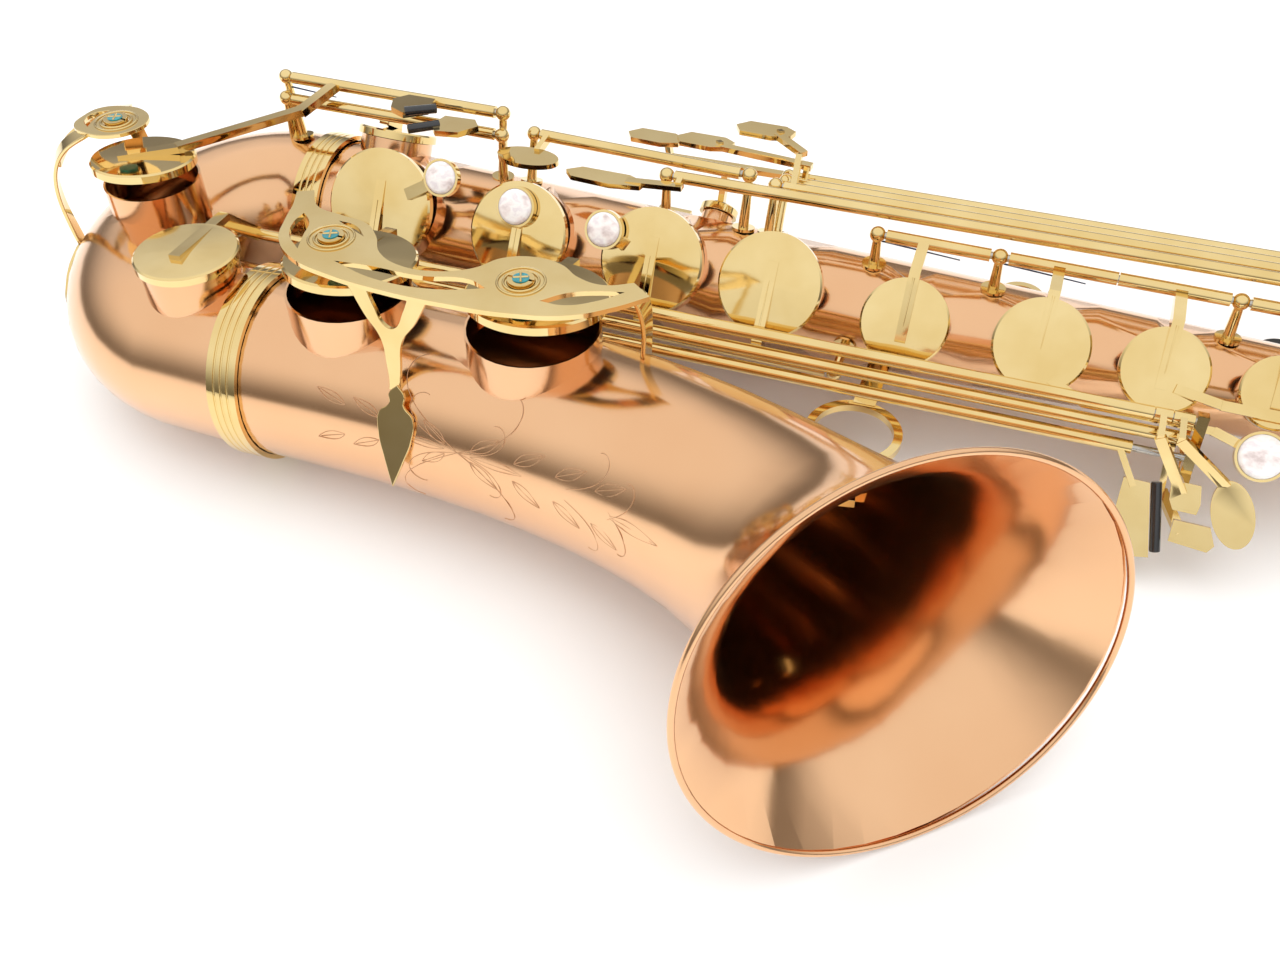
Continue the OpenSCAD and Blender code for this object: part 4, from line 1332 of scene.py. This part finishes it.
@dataclass
class Studio:
    """Camera, lights, floor and air."""

    bench: Bench
    lens: float = 34.62
    sensor: float = 36.0
    table: float = 12.0
    sky: float = 1.02
    eye: tuple[float, float, float] = (328.74, -438.33, 307.36)
    right: tuple[float, float, float] = (0.93238, 0.36123, -0.01349)
    back: tuple[float, float, float] = (0.27271, -0.67841, 0.68219)

    def camera(self) -> None:
        """Places the camera."""
        lay = self.bench.lay
        turn = lay.turn().to_3x3()
        data = bpy.data.cameras.new("view")
        data.lens = self.lens
        data.sensor_width = self.sensor
        data.clip_start = 0.01
        camera = bpy.data.objects.new("view", data)
        bpy.context.scene.collection.objects.link(camera)
        camera.matrix_world = axes(lay.point(self.eye), turn @ Vector(self.right), turn @ Vector(self.back))
        bpy.context.scene.camera = camera

    def soft(self, name: str, place: Point, aim: Point, size: tuple[float, float], power: float) -> None:
        """Adds a soft box.

        Args:
            name: its name.
            place: where it hangs, in metres.
            aim: what it faces.
            size: its sides.
            power: its watts.
        """
        data = bpy.data.lights.new(name, "AREA")
        data.shape = "RECTANGLE"
        data.size, data.size_y = size
        data.energy = power
        lamp = bpy.data.objects.new(name, data)
        lamp.visible_glossy = False
        bpy.context.scene.collection.objects.link(lamp)
        back = (Vector(place) - Vector(aim)).normalized()
        across = Vector((0, 0, 1)).cross(back)
        across = across if across.length > 1e-3 else Vector((1, 0, 0))
        lamp.matrix_world = axes(Vector(place), across, back)

    def air(self) -> None:
        """Fills the room with pale light that is brighter above."""
        world = bpy.data.worlds.new("room")
        world.use_nodes = True
        tree = world.node_tree
        coords = tree.nodes.new("ShaderNodeTexCoord")
        split = tree.nodes.new("ShaderNodeSeparateXYZ")
        ramp = tree.nodes.new("ShaderNodeValToRGB")
        ramp.color_ramp.interpolation = "EASE"
        ramp.color_ramp.elements[0].position = 0.02
        ramp.color_ramp.elements[0].color = (0.2, 0.185, 0.17, 1)
        ramp.color_ramp.elements[1].position = 0.62
        ramp.color_ramp.elements[1].color = (1.0, 1.0, 1.0, 1)
        tree.links.new(coords.outputs["Generated"], split.inputs["Vector"])
        tree.links.new(split.outputs["Z"], ramp.inputs["Fac"])
        tree.links.new(ramp.outputs["Color"], tree.nodes["Background"].inputs["Color"])
        tree.nodes["Background"].inputs["Strength"].default_value = self.sky
        bpy.context.scene.world = world

    def build(self) -> None:
        """Builds the studio."""
        self.camera()
        self.air()
        self.soft("top_box", (0.1, 0.3, 1.6), (0, 0, 0), (2.4, 1.8), 17.0)
        self.soft("left_box", (-1.5, -0.5, 0.9), (-0.1, 0, 0.05), (1.4, 1.4), 6.0)
        self.soft("front_box", (0.5, -1.7, 1.1), (0.1, -0.1, 0.05), (2.2, 1.2), 7.0)
        self.bench.clear()
        bpy.ops.mesh.primitive_plane_add(size=self.table, location=(0, 0, FLOOR_DROP))
        floor = bpy.context.active_object
        floor.name = "table_top"
        floor.data.materials.append(self.bench.finishes.paper)
        bpy.context.scene.view_settings.view_transform = "Standard"


def main() -> None:
    """Builds the instrument's looks in order and reports each piece."""
    logging.basicConfig(level=logging.INFO, format="%(message)s")
    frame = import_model()
    bench = Bench(frame, Finishes(), Lay())
    Studio(bench).build()
    Tubework(bench).build()
    Guards(bench).build()
    Keywork(bench).build()


if __name__ == "__main__":
    main()
